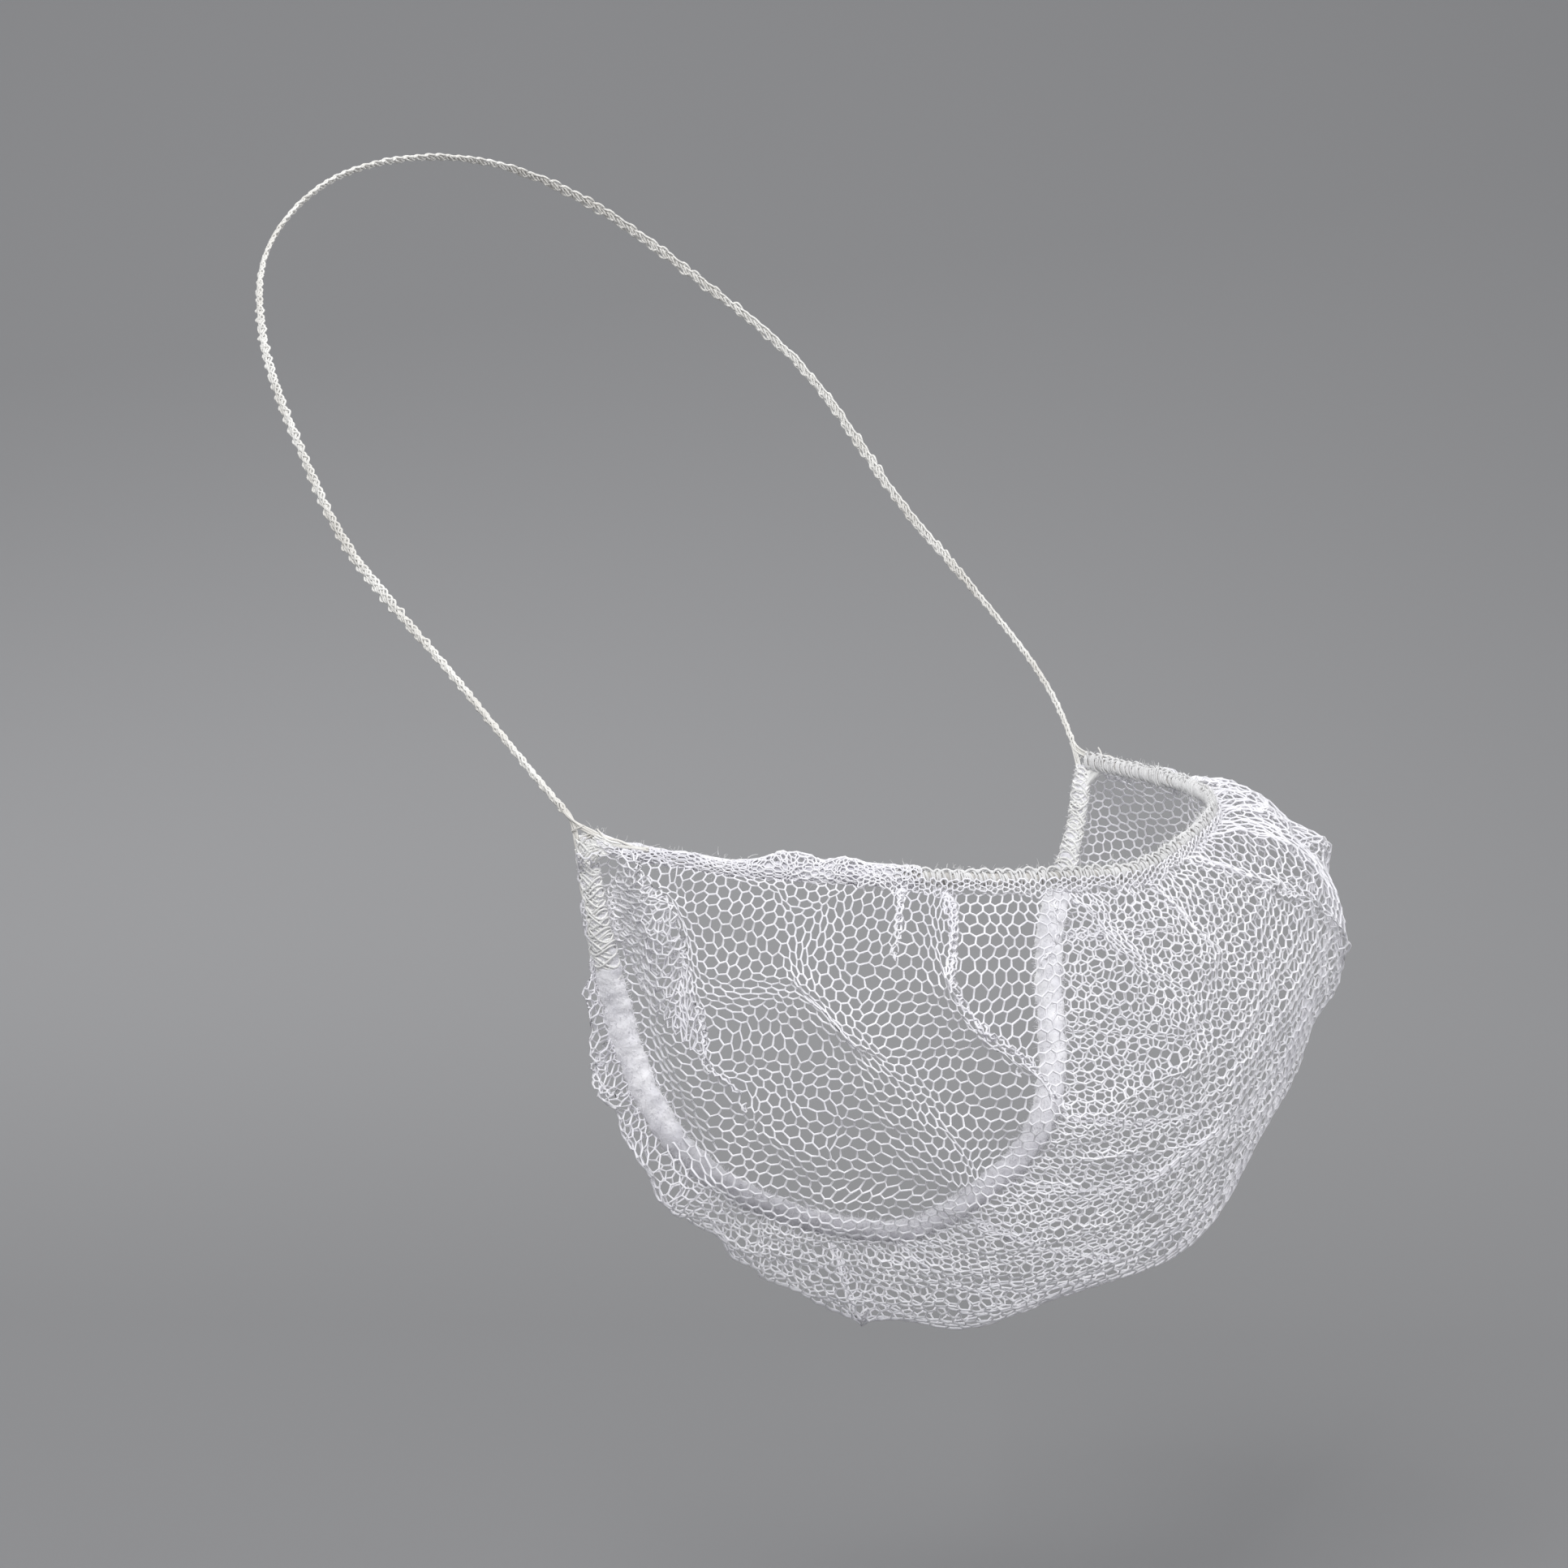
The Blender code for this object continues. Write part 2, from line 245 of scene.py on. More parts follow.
NET_TUCKS = (
    Tuck(((0.272, 0.0), (0.278, 0.07), (0.285, 0.12), (0.292, 0.165)), 0.0012, 0.85, 0.0010, Ends.LAST),
    Tuck(((0.308, 0.0), (0.317, 0.05), (0.324, 0.10), (0.333, 0.165), (0.343, 0.20), (0.357, 0.225),
          (0.370, 0.245), (0.388, 0.265), (0.403, 0.285), (0.422, 0.325), (0.440, 0.37)),
         0.0019, 0.62, 0.0014, Ends.LAST),
    Tuck(((0.282, 0.055), (0.300, 0.075), (0.312, 0.11), (0.325, 0.155), (0.348, 0.20), (0.385, 0.245),
          (0.42, 0.295), (0.44, 0.34)), 0.0042, 0.44, 0.0006, Ends.BOTH),
    Tuck(((0.360, 0.232), (0.377, 0.257), (0.393, 0.285), (0.405, 0.315)), 0.0012, 0.60, 0.0008, Ends.BOTH),
    Tuck(((0.200, 0.20), (0.235, 0.232), (0.273, 0.262), (0.305, 0.297), (0.345, 0.345), (0.378, 0.40),
          (0.395, 0.44), (0.41, 0.50)), 0.0080, 0.54, 0.0014, Ends.BOTH),
    Tuck(((0.163, 0.38), (0.20, 0.33), (0.23, 0.304), (0.255, 0.28), (0.285, 0.287), (0.34, 0.345)),
         0.0042, 0.45, 0.0006, Ends.BOTH),
    Tuck(((0.41, 0.0), (0.432, 0.075), (0.46, 0.163), (0.478, 0.20)), 0.0022, 0.65, 0.0008, Ends.LAST),
    Tuck(((0.435, 0.0), (0.455, 0.09), (0.485, 0.185), (0.505, 0.23)), 0.0022, 0.65, 0.0008, Ends.LAST),
    Tuck(((0.395, 0.04), (0.403, 0.108), (0.388, 0.142)), 0.0013, 0.85, 0.0008, Ends.BOTH),
    Tuck(((0.50, 0.0), (0.51, 0.083), (0.522, 0.15), (0.54, 0.22)), 0.0016, 0.85, 0.0009, Ends.LAST),
    Tuck(((0.503, 0.30), (0.478, 0.317), (0.463, 0.333), (0.455, 0.367)), 0.0015, 0.85, 0.0008, Ends.BOTH),
    Tuck(((0.53, 0.44), (0.508, 0.438), (0.487, 0.425), (0.443, 0.43)), 0.0015, 0.80, 0.0006, Ends.BOTH),
    Tuck(((0.53, 0.44), (0.505, 0.462), (0.482, 0.496)), 0.0014, 0.80, 0.0006, Ends.BOTH),
    Tuck(((0.215, 0.46), (0.228, 0.467), (0.255, 0.458), (0.27, 0.483), (0.285, 0.53)),
         0.0016, 0.85, 0.0008, Ends.BOTH),
    Tuck(((0.258, 0.396), (0.278, 0.42), (0.30, 0.458)), 0.0014, 0.80, 0.0007, Ends.BOTH),
    Tuck(((0.302, 0.396), (0.318, 0.438), (0.323, 0.475), (0.338, 0.51)), 0.0014, 0.80, 0.0007, Ends.BOTH),
    Tuck(((0.055, 0.12), (0.065, 0.204), (0.088, 0.229), (0.113, 0.279), (0.135, 0.333), (0.163, 0.379),
          (0.185, 0.408), (0.215, 0.446)), 0.0020, 0.80, 0.0010, Ends.BOTH),
    Tuck(((0.10, 0.02), (0.128, 0.054), (0.165, 0.079), (0.203, 0.087), (0.217, 0.046), (0.23, 0.0)),
         0.0016, 0.75, 0.0006, Ends.BOTH),
    Tuck(((0.173, 0.0), (0.193, 0.046)), 0.0012, 0.80, 0.0006, Ends.LAST),
    Tuck(((0.56, 0.0), (0.58, 0.10), (0.62, 0.24), (0.66, 0.42)), 0.0022, 0.85, 0.0014, Ends.LAST),
    Tuck(((0.62, 0.0), (0.63, 0.09), (0.65, 0.17)), 0.0015, 0.85, 0.0008, Ends.LAST),
    Tuck(((0.69, 0.0), (0.72, 0.16), (0.77, 0.33), (0.80, 0.50)), 0.0024, 0.85, 0.0015, Ends.LAST),
    Tuck(((0.78, 0.0), (0.79, 0.10), (0.81, 0.20)), 0.0015, 0.85, 0.0008, Ends.LAST),
    Tuck(((0.86, 0.0), (0.86, 0.20), (0.83, 0.42), (0.80, 0.60)), 0.0026, 0.85, 0.0014, Ends.LAST),
    Tuck(((0.93, 0.0), (0.93, 0.30), (0.90, 0.55)), 0.0022, 0.85, 0.0012, Ends.LAST),
    Tuck(((0.09, 1.0), (0.11, 0.84), (0.15, 0.72)), 0.0020, 0.85, 0.0012, Ends.LAST),
    Tuck(((0.15, 1.0), (0.17, 0.86), (0.20, 0.74), (0.22, 0.66)), 0.0022, 0.85, 0.0012, Ends.LAST),
    Tuck(((0.21, 1.0), (0.22, 0.88), (0.25, 0.76)), 0.0020, 0.85, 0.0012, Ends.LAST),
    Tuck(((0.27, 1.0), (0.28, 0.86), (0.29, 0.72)), 0.0020, 0.85, 0.0010, Ends.LAST),
    Tuck(((0.34, 1.0), (0.35, 0.88), (0.345, 0.78)), 0.0018, 0.85, 0.0010, Ends.LAST),
    Tuck(((0.41, 1.0), (0.41, 0.86), (0.40, 0.74)), 0.0020, 0.85, 0.0012, Ends.LAST),
    Tuck(((0.48, 1.0), (0.49, 0.86), (0.485, 0.76)), 0.0018, 0.85, 0.0010, Ends.LAST),
    Tuck(((0.56, 1.0), (0.56, 0.87), (0.55, 0.74)), 0.0020, 0.85, 0.0012, Ends.LAST),
    Tuck(((0.63, 1.0), (0.64, 0.86), (0.645, 0.78)), 0.0018, 0.85, 0.0010, Ends.LAST),
    Tuck(((0.71, 1.0), (0.71, 0.86), (0.70, 0.74)), 0.0020, 0.85, 0.0012, Ends.LAST),
    Tuck(((0.79, 1.0), (0.78, 0.84), (0.76, 0.72)), 0.0020, 0.85, 0.0012, Ends.LAST),
    Tuck(((0.87, 1.0), (0.86, 0.82), (0.84, 0.70)), 0.0020, 0.85, 0.0012, Ends.LAST),
)

NET_PLEATS = (
    Pleat(((0.273, 0.012), (0.278, 0.07), (0.285, 0.12), (0.292, 0.165)), 0.0025, 0.0012, 0.25),
    Pleat(((0.272, 0.012), (0.277, 0.06), (0.283, 0.10)), 0.0020, 0.0012, -0.45),
    Pleat(((0.308, 0.012), (0.317, 0.05), (0.324, 0.10), (0.333, 0.165), (0.343, 0.20)),
          0.0029, 0.0020, -0.30),
    Pleat(((0.310, 0.012), (0.319, 0.05), (0.326, 0.10), (0.335, 0.165)), 0.0021, 0.0015, 0.50),
    Pleat(((0.340, 0.19), (0.357, 0.225), (0.370, 0.245), (0.388, 0.265), (0.403, 0.285), (0.422, 0.325),
           (0.436, 0.355)), 0.0019, 0.0010, 0.20),
    Pleat(((0.360, 0.232), (0.377, 0.257), (0.393, 0.285), (0.405, 0.315)), 0.0014, 0.0008, 0.40),
    Pleat(((0.404, 0.03), (0.405, 0.09), (0.398, 0.135), (0.388, 0.157)), 0.0012, 0.0008, -0.20),
    Pleat(((0.408, 0.012), (0.432, 0.075), (0.46, 0.163)), 0.0014, 0.0008, 0.30),
    Pleat(((0.50, 0.012), (0.51, 0.083), (0.522, 0.15)), 0.0018, 0.0010, -0.20),
    Pleat(((0.185, 0.405), (0.205, 0.436), (0.228, 0.467), (0.255, 0.460), (0.27, 0.483)),
          0.0018, 0.0010, 0.35),
    Pleat(((0.56, 0.012), (0.58, 0.10), (0.62, 0.24)), 0.0022, 0.0012, 0.30),
    Pleat(((0.69, 0.012), (0.72, 0.16), (0.77, 0.33)), 0.0026, 0.0014, -0.30),
    Pleat(((0.86, 0.012), (0.86, 0.20), (0.83, 0.42)), 0.0030, 0.0016, 0.25),
    Pleat(((0.153, 0.985), (0.17, 0.86), (0.20, 0.74), (0.22, 0.66)), 0.0026, 0.0012, 0.20),
    Pleat(((0.412, 0.985), (0.41, 0.86), (0.40, 0.76)), 0.0022, 0.0012, -0.25),
    Pleat(((0.562, 0.985), (0.56, 0.87), (0.55, 0.76)), 0.0022, 0.0012, 0.25),
    Pleat(((0.71, 0.985), (0.71, 0.86), (0.70, 0.76)), 0.0022, 0.0012, -0.20),
    Pleat(((0.868, 0.985), (0.86, 0.84), (0.845, 0.72)), 0.0024, 0.0012, 0.20),
)

NET_OVERLAPS = {
    "net_fold_corner": Overlap(
        ((0.020, 0.16), (0.050, 0.42), (0.078, 0.54), (0.110, 0.545),
         (0.152, 0.529), (0.190, 0.492), (0.228, 0.471)),
        ((0.030, 0.04), (0.060, 0.170), (0.088, 0.229), (0.122, 0.300),
         (0.150, 0.355), (0.185, 0.408), (0.226, 0.458)),
        0.0007, 0.35,
    ),
}

NET_BELLIES = (
    Belly(0.548, 0.665, 0.0040),
    Belly(0.47, 0.77, 0.0012),
    Belly(0.415, 0.82, 0.0034),
    Belly(0.355, 0.83, 0.0012),
    Belly(0.735, 0.22, -0.0050),
    Belly(0.75, 0.17, -0.0034),
    Belly(0.67, 0.41, -0.0022),
)

HEM_SINKS = ((0.0, 0.0), (0.012, 0.0011), (0.03, 0.0019), (0.06, 0.0015), (0.14, 0.0015), (0.185, 0.0008),
             (0.26, 0.0003), (0.34, 0.0))

HEM_BULGES = (
    Bulge(0.185, 0.020, 0.0016),
    Bulge(0.235, 0.012, 0.0010),
    Bulge(0.10, 0.015, 0.0004),
    Bulge(0.05, 0.010, 0.0003),
)

HEM_RUFFLES = (
    Ruffle("hem_ruffle", 0.0013, 10, 1.0, 0.0),
    Ruffle("hem_ruffle_over", 0.0019, 7, 1.10, 2.0),
)

BAND_WINDINGS = (
    Winding(0.0, 1, 390),
    Winding(0.9, -1, 310),
    Winding(2.1, 1, 345),
    Winding(3.4, -1, 270),
    Winding(4.8, 1, 220),
    Winding(5.6, -1, 370),
)

LAMPS = (
    Lamp("key light", (-0.9, -0.7, 0.9), 0.6, 15.0, (0.0, -0.0835, -0.104)),
    Lamp("fill light", (0.7, -1.2, 0.3), 0.9, 6.0, (0.0, -0.0835, -0.104)),
    Lamp("rim light", (0.4, 0.8, 0.7), 0.7, 6.0, (0.0, -0.0835, -0.104)),
    Lamp("backdrop light", (0.2, 0.4, 1.2), 1.2, 22.0, (1.9, 1.9, 0.9)),
)


def run_along(points: np.ndarray) -> np.ndarray:
    """The length run at each point of a curve.

    Args:
        points: The curve's points, one to a row.

    Returns:
        The length from the first point to each point.
    """
    return np.concatenate([[0.0], np.cumsum(np.linalg.norm(np.diff(points, axis=0), axis=1))])


def shares_along(points: np.ndarray) -> np.ndarray:
    """The share of a curve's length that is run at each of its points."""
    run = run_along(points)
    return run / run[-1]


def spline(knots: np.ndarray, rows: np.ndarray, wanted: np.ndarray) -> np.ndarray:
    """The natural cubic spline through rows, read at the wanted places.

    Args:
        knots: Where each row lies, rising.
        rows: The values at the knots.
        wanted: The places to read.

    Returns:
        A row of values for each wanted place.
    """
    count = len(knots)
    width = np.diff(knots)
    slope = np.diff(rows, axis=0) / width[:, None]
    matrix = np.eye(count)
    right = np.zeros_like(rows)
    for row in range(1, count - 1):
        matrix[row, row - 1 : row + 2] = width[row - 1], 2 * (width[row - 1] + width[row]), width[row]
        right[row] = 6 * (slope[row] - slope[row - 1])
    bend = np.linalg.solve(matrix, right)
    span = np.clip(np.searchsorted(knots, wanted, side="right") - 1, 0, count - 2)
    after = (np.asarray(wanted) - knots[span])[:, None]
    before = width[span][:, None] - after
    step = width[span][:, None]
    bent = bend[span] * (before**3 / step - before * step)
    bent += bend[span + 1] * (after**3 / step - after * step)
    return bent / 6 + (rows[span] * before + rows[span + 1] * after) / step


def smooth_curve(rows: np.ndarray, steps: int, cut: float = 0.0) -> np.ndarray:
    """Evenly spaced points on a smooth curve through the rows.

    Args:
        rows: Points that the curve passes through.
        steps: How many steps the curve is cut into.
        cut: The length left off at each end.

    Returns:
        The curve's points, steps + 1 of them.
    """
    rows = np.array(rows, float)
    knots = run_along(rows)
    fine = spline(knots, rows, np.linspace(0.0, knots[-1], 40 * len(rows)))
    run = run_along(fine)
    wanted = np.linspace(cut, run[-1] - cut, steps + 1)
    return read_along(fine, run, wanted)


def read_along(points: np.ndarray, run: np.ndarray, wanted: np.ndarray) -> np.ndarray:
    """Points of a curve at the wanted values of its run.

    Args:
        points: The curve's points.
        run: The value at each point, rising.
        wanted: The values to read.

    Returns:
        A point for each wanted value.
    """
    return np.stack([np.interp(wanted, run, points[:, axis]) for axis in range(points.shape[1])], axis=1)


def unit(vectors: np.ndarray) -> np.ndarray:
    """The vectors at length one."""
    return vectors / np.linalg.norm(vectors, axis=-1, keepdims=True)


def eased(share: np.ndarray) -> np.ndarray:
    """A smooth rise from nought to one as the share does."""
    share = np.clip(share, 0.0, 1.0)
    return share * share * (3.0 - 2.0 * share)


def swelling(off: np.ndarray) -> np.ndarray:
    """A bell: one in the middle, and falling off to nearly nought at twice the width."""
    return np.exp(-(off**2))


@dataclass
class Route:
    """A line with its ways out and wide at each point, read by the length run along it."""

    points: np.ndarray
    across: np.ndarray
    run: np.ndarray = field(init=False)
    length: float = field(init=False)
    out: np.ndarray = field(init=False)
    wide: np.ndarray = field(init=False)

    def __post_init__(self) -> None:
        """Work out the length run, and the two ways at each point."""
        self.run = run_along(self.points)
        self.length = float(self.run[-1])
        ahead = unit(np.gradient(self.points, axis=0))
        self.out = unit(np.cross(ahead, self.across))
        self.wide = unit(np.cross(self.out, ahead))

    def read(self, rows: np.ndarray, at: np.ndarray) -> np.ndarray:
        """Rows that belong to the line's points, read at the lengths run."""
        return read_along(rows, self.run, at)

    def aside(self, at: np.ndarray, up: np.ndarray | float, away: np.ndarray | float) -> np.ndarray:
        """Steps off the line.

        Args:
            at: The length run to each step.
            up: How far each step goes up along the width.
            away: How far it goes away along the way out.

        Returns:
            The steps.
        """
        up, away = np.reshape(up, (-1, 1)), np.reshape(away, (-1, 1))
        return self.read(self.wide, at) * up + self.read(self.out, at) * away

    def off(self, at: np.ndarray, up: np.ndarray | float, away: np.ndarray | float,
            slip: np.ndarray | float = 0.0) -> np.ndarray:
        """Points beside the line.

        Args:
            at: The length run to each point.
            up: How far each point lies up along the width.
            away: How far it lies away along the way out.
            slip: How far it slips along the line.

        Returns:
            The points.
        """
        return self.read(self.points, at + slip) + self.aside(at, up, away)

    def rings(self, turn: np.ndarray, tall: np.ndarray, deep: np.ndarray) -> np.ndarray:
        """Rings of points round the line.

        Args:
            turn: The turn to each point of a ring.
            tall: How far each reaches along the width.
            deep: How far each reaches along the way out.

        Returns:
            Points as (ring, side, axis).
        """
        up, away = (np.sin(turn) * tall)[..., None], (np.cos(turn) * deep)[..., None]
        return self.points[:, None] + self.wide[:, None] * up + self.out[:, None] * away


@dataclass(frozen=True)
class WornForm:
    """The worn lines and the net's surface, with the sizes that the solid model has."""

    corner_half: float = 0.067
    corner_reach: float = 0.1175
    corner_drop: float = 0.119
    hem_reach: float = 0.071
    hem_sag: float = 0.0065
    hem_height: float = 0.0046
    band_reach: float = 0.0165
    band_drop: float = 0.081
    band_thick: float = 0.003
    strap_diameter: float = 0.0022
    net_reach: float = 0.060
    fold_depth: float = 0.0035
    fold_width: float = 0.009
    net_gap: float = 0.0008
    end_gap: float = 0.0008
    split: float = 0.0040
    edge_steps: int = 44
    slope_step: float = 0.001

    def line(self, table: tuple[Place, ...], reach: float, drop: float, start: tuple[float, float],
             off_head: float = 0.0) -> list[tuple[float, float, float]]:
        """World points of a table's rows.

        Args:
            table: The rows, as shares.
            reach: The length that a forward share of one stands for.
            drop: The length that a rise share of one stands for.
            start: How far the rows' zero lies ahead of and below the strap's seat.
            off_head: How far the line lies off the head.

        Returns:
            The points, one to a row.
        """
        ahead, below = start
        return [
            (row.side * self.corner_half, off_head - ahead - row.forward * reach, row.rise * drop - below)
            for row in table
        ]

    def hem(self, steps: int, cut: float) -> np.ndarray:
        """The middle of the hem's height, from the right corner to the left one."""
        start = (self.corner_reach, self.corner_drop)
        return smooth_curve(self.line(HEM_LINE, self.hem_reach, self.hem_sag, start), steps, cut)

    def sewn_hem(self, steps: int, cut: float) -> np.ndarray:
        """The middle of the hem as its yarns lie, sunk a little beside the right corner.

        Args:
            steps: How many points are wanted.
            cut: How far the ends stop short of the corners.

        Returns:
            The points.
        """
        path = self.hem(steps, cut)
        shares, depths = np.array(HEM_SINKS).T
        return path - UPWARD * np.interp(shares_along(path), shares, depths)[:, None]

    def band(self, steps: int, cut: float) -> np.ndarray:
        """The middle of the band, from the right corner under the chin to the left one."""
        line = self.line(BAND_LINE, self.band_reach, self.band_drop, (self.corner_reach, self.corner_drop))
        return smooth_curve(both_sides(line), steps, cut)

    def strap(self, steps: int, cut: float) -> np.ndarray:
        """The middle of the strap, from the right corner over the crown to the left one.

        Args:
            steps: How many steps it is cut into.
            cut: How far the ends stop short of the corners.

        Returns:
            The points.
        """
        off_head = self.strap_diameter / 2
        line = self.line(STRAP_LINE, self.corner_reach, self.corner_drop, (0.0, 0.0), off_head)
        return smooth_curve(both_sides(line), steps, cut)

    def net_edges(self, cut: float, tucked: float) -> tuple[np.ndarray, np.ndarray]:
        """The net's edges under the hem and on the outer side of the band.

        Args:
            cut: How far the edges stop short of the corners.
            tucked: How far the net runs into hem and band past where the solid's wall ends.

        Returns:
            The edge at the hem and the edge at the band.
        """
        hem = self.hem(self.edge_steps, cut)
        band = self.band(self.edge_steps, cut)
        off_band = unit(np.cross(np.gradient(band, axis=0), FORWARD))
        gap = self.net_gap - tucked
        return hem - UPWARD * (self.hem_height / 2 + gap), band + off_band * (self.band_thick / 2 + gap)

    def net(self, at: np.ndarray, down: np.ndarray, edges: tuple[np.ndarray, np.ndarray]) -> np.ndarray:
        """Points of the net's middle surface without its folds.

        Args:
            at: Shares from the right corner to the left one.
            down: Shares from hem to band.
            edges: The net's edges at hem and band.

        Returns:
            A point for each place.
        """
        rows = np.array(NET_SECTIONS)
        pulls = spline(rows[:, 0], rows[:, 1:], at) * self.net_reach
        pulls[:, [1, 4]] *= -1
        shares = np.linspace(0.0, 1.0, len(edges[0]))
        top, low = (read_along(edge, shares, at) for edge in edges)
        t = down[:, None]
        s = 1 - t
        upper, lower = top + pulls[:, :3], low + pulls[:, 3:]
        return s**3 * top + 3 * s**2 * t * upper + 3 * s * t**2 * lower + t**3 * low

    def fold_height(self, at: np.ndarray, down: np.ndarray, spans: np.ndarray) -> np.ndarray:
        """How far the main folds raise the net at each place.

        Args:
            at: Shares from the right corner to the left one.
            down: Shares from hem to band.
            spans: The net's length from corner to corner and its depth from hem to band.

        Returns:
            The height at each place.
        """
        places = np.stack([at, down], axis=1) * spans
        height = np.zeros(len(at))
        for fold in NET_FOLDS:
            start = np.array([fold.at, fold.down]) * spans
            step = np.array([fold.to_at, fold.to_down]) * spans - start
            share = np.clip((places - start) @ step / (step @ step), 0.0, 1.0)
            off = np.linalg.norm(places - start - share[:, None] * step, axis=1)
            height += fold.depth * self.fold_depth * swelling(off / (fold.width * self.fold_width / 2))
        return height * np.sqrt(np.sin(pi * np.clip(down, 0, 1)) * np.sin(pi * np.clip(at, 0, 1)))


def both_sides(left: list[tuple[float, float, float]]) -> list[tuple[float, float, float]]:
    """The left half of a line and its mirror image, from the right corner to the left one."""
    right = [(-x, y, z) for x, y, z in left[:-1]]
    return right + left[::-1]


def wire(tree: bpy.types.NodeTree, node: bpy.types.Node, inputs: dict[str, object]) -> bpy.types.Node:
    """Set and link a node's inputs.

    Args:
        tree: The nodes' tree.
        node: The node.
        inputs: For each input's name, its value or the socket it comes from.

    Returns:
        The node.
    """
    for name, value in inputs.items():
        if isinstance(value, bpy.types.NodeSocket):
            tree.links.new(value, node.inputs[name])
        else:
            node.inputs[name].default_value = value
    return node


@dataclass(frozen=True)
class YarnFinish:
    """Yarn: a colour that drifts to a shade, an optional painted shade that darkens it lower down, and the
    fine twist of its filaments.
    """

    name: str
    colour: tuple[float, float, float]
    shade: tuple[float, float, float]
    roughness: float = 0.6
    sheen: float = 0.3
    drift: float = 90.0
    grain: float = 2600.0
    relief: float = 0.00006
    # painted shade: the colour that lower parts turn to, and the heights at which it begins and is full
    painted_shade_colour: tuple[float, float, float] | None = None
    painted_shade_from: float = -0.170
    painted_shade_to: float = -0.190
    shade_to: float = 0.35
    colour_from: float = 0.62
    uneven: float = 0.12
    twist: float = 0.6

    def material(self) -> bpy.types.Material:
        """The finish as a node material.

        Returns:
            The material, made once for each name.
        """
        made = bpy.data.materials.get(self.name)
        if made is not None:
            return made
        made = bpy.data.materials.new(self.name)
        made.use_nodes = True
        tree = made.node_tree
        place = tree.nodes.new("ShaderNodeTexCoord").outputs["Object"]
        drift = self.noise(tree, place, self.drift, 4.0)
        ramp = wire(tree, tree.nodes.new("ShaderNodeValToRGB"), {"Fac": drift})
        dark, light = ramp.color_ramp.elements
        dark.position, dark.color = self.shade_to, (*self.shade, 1.0)
        light.position, light.color = self.colour_from, (*self.colour, 1.0)
        colour = ramp.outputs["Color"]
        # painted shade: the colour darkens towards the bottom of the piece
        if self.painted_shade_colour is not None:
            colour = self.with_painted_shade(tree, place, colour)
        grain = self.noise(tree, place, self.grain, 3.0)
        spread = wire(tree, tree.nodes.new("ShaderNodeMapRange"), {
            "To Min": self.roughness - self.uneven, "To Max": self.roughness + self.uneven, "Value": grain,
        })
        bump = wire(tree, tree.nodes.new("ShaderNodeBump"), {
            "Strength": self.twist, "Distance": self.relief, "Height": grain,
        })
        wire(tree, tree.nodes["Principled BSDF"], {
            "Base Color": colour, "Roughness": spread.outputs["Result"], "Normal": bump.outputs["Normal"],
            "Sheen Weight": self.sheen, "Sheen Roughness": 0.5, "Specular IOR Level": 0.35,
        })
        return made

    @staticmethod
    def noise(tree: bpy.types.NodeTree, place: bpy.types.NodeSocket, scale: float,
              detail: float) -> bpy.types.NodeSocket:
        """Soft noise over the piece.

        Args:
            tree: The material's nodes.
            place: Where the object's coordinates come from.
            scale: How fine the noise is.
            detail: How many finer layers it has.

        Returns:
            Where its value comes from.
        """
        inputs = {"Vector": place, "Scale": scale, "Detail": detail}
        return wire(tree, tree.nodes.new("ShaderNodeTexNoise"), inputs).outputs["Fac"]

    def with_painted_shade(self, tree: bpy.types.NodeTree, place: bpy.types.NodeSocket,
               colour: bpy.types.NodeSocket) -> bpy.types.NodeSocket:
        """The colour, darkening towards the painted shade colour further down: a painted shade on the lower
        part of the piece.

        Args:
            tree: The material's nodes.
            place: Where the object's coordinates come from.
            colour: Where the colour comes from.

        Returns:
            Where the new colour comes from.
        """
        # painted shade: the lower the point, the more of the painted shade colour it takes
        height = wire(tree, tree.nodes.new("ShaderNodeSeparateXYZ"), {"Vector": place}).outputs["Z"]
        depth = wire(tree, tree.nodes.new("ShaderNodeMapRange"), {
            "From Min": self.painted_shade_from, "From Max": self.painted_shade_to, "Value": height,
        })
        return wire(tree, tree.nodes.new("ShaderNodeMixRGB"), {
            "Fac": depth.outputs["Result"], "Color1": colour, "Color2": (*self.painted_shade_colour, 1.0),
        }).outputs["Color"]


NET_YARN = YarnFinish("net yarn", (0.92, 0.91, 0.94), (0.82, 0.81, 0.85))
HEM_YARN = YarnFinish("hem yarn", (0.80, 0.795, 0.795), (0.69, 0.685, 0.68))
HEM_CORE = YarnFinish("hem elastic", (0.62, 0.60, 0.575), (0.47, 0.455, 0.43), grain=900.0, relief=0.0002)
# painted shade: the padding is given a grey darker than its white yarn, for the shade it lies in under the
# ruffle
PADDING_PAINTED_SHADE = YarnFinish("hem padding painted shade", (0.78, 0.77, 0.81), (0.60, 0.59, 0.64), roughness=0.85, sheen=0.5,
                     drift=500.0, grain=1300.0, relief=0.0003)
# painted shade: the band darkens towards its lowest part, for the shade it lies in behind the net
BAND_FUZZ_PAINTED_SHADE = YarnFinish("band fuzz", (0.90, 0.89, 0.915), (0.77, 0.76, 0.80), roughness=0.9, sheen=0.8,
                       drift=260.0, grain=1500.0, relief=0.0003, painted_shade_colour=(0.52, 0.51, 0.545))
STRAP_YARN = YarnFinish("strap yarn", (0.88, 0.87, 0.84), (0.74, 0.72, 0.68))
CORNER_YARN = YarnFinish("corner yarn", (0.95, 0.945, 0.93), (0.86, 0.855, 0.835))


def mesh_of(bm: bmesh.types.BMesh, name: str) -> bpy.types.Mesh:
    """The bmesh as a smooth-shaded mesh.

    Args:
        bm: The bmesh, which is freed.
        name: The mesh's name.

    Returns:
        The mesh.
    """
    mesh = bpy.data.meshes.new(name)
    bm.to_mesh(mesh)
    bm.free()
    mesh.shade_smooth()
    return mesh


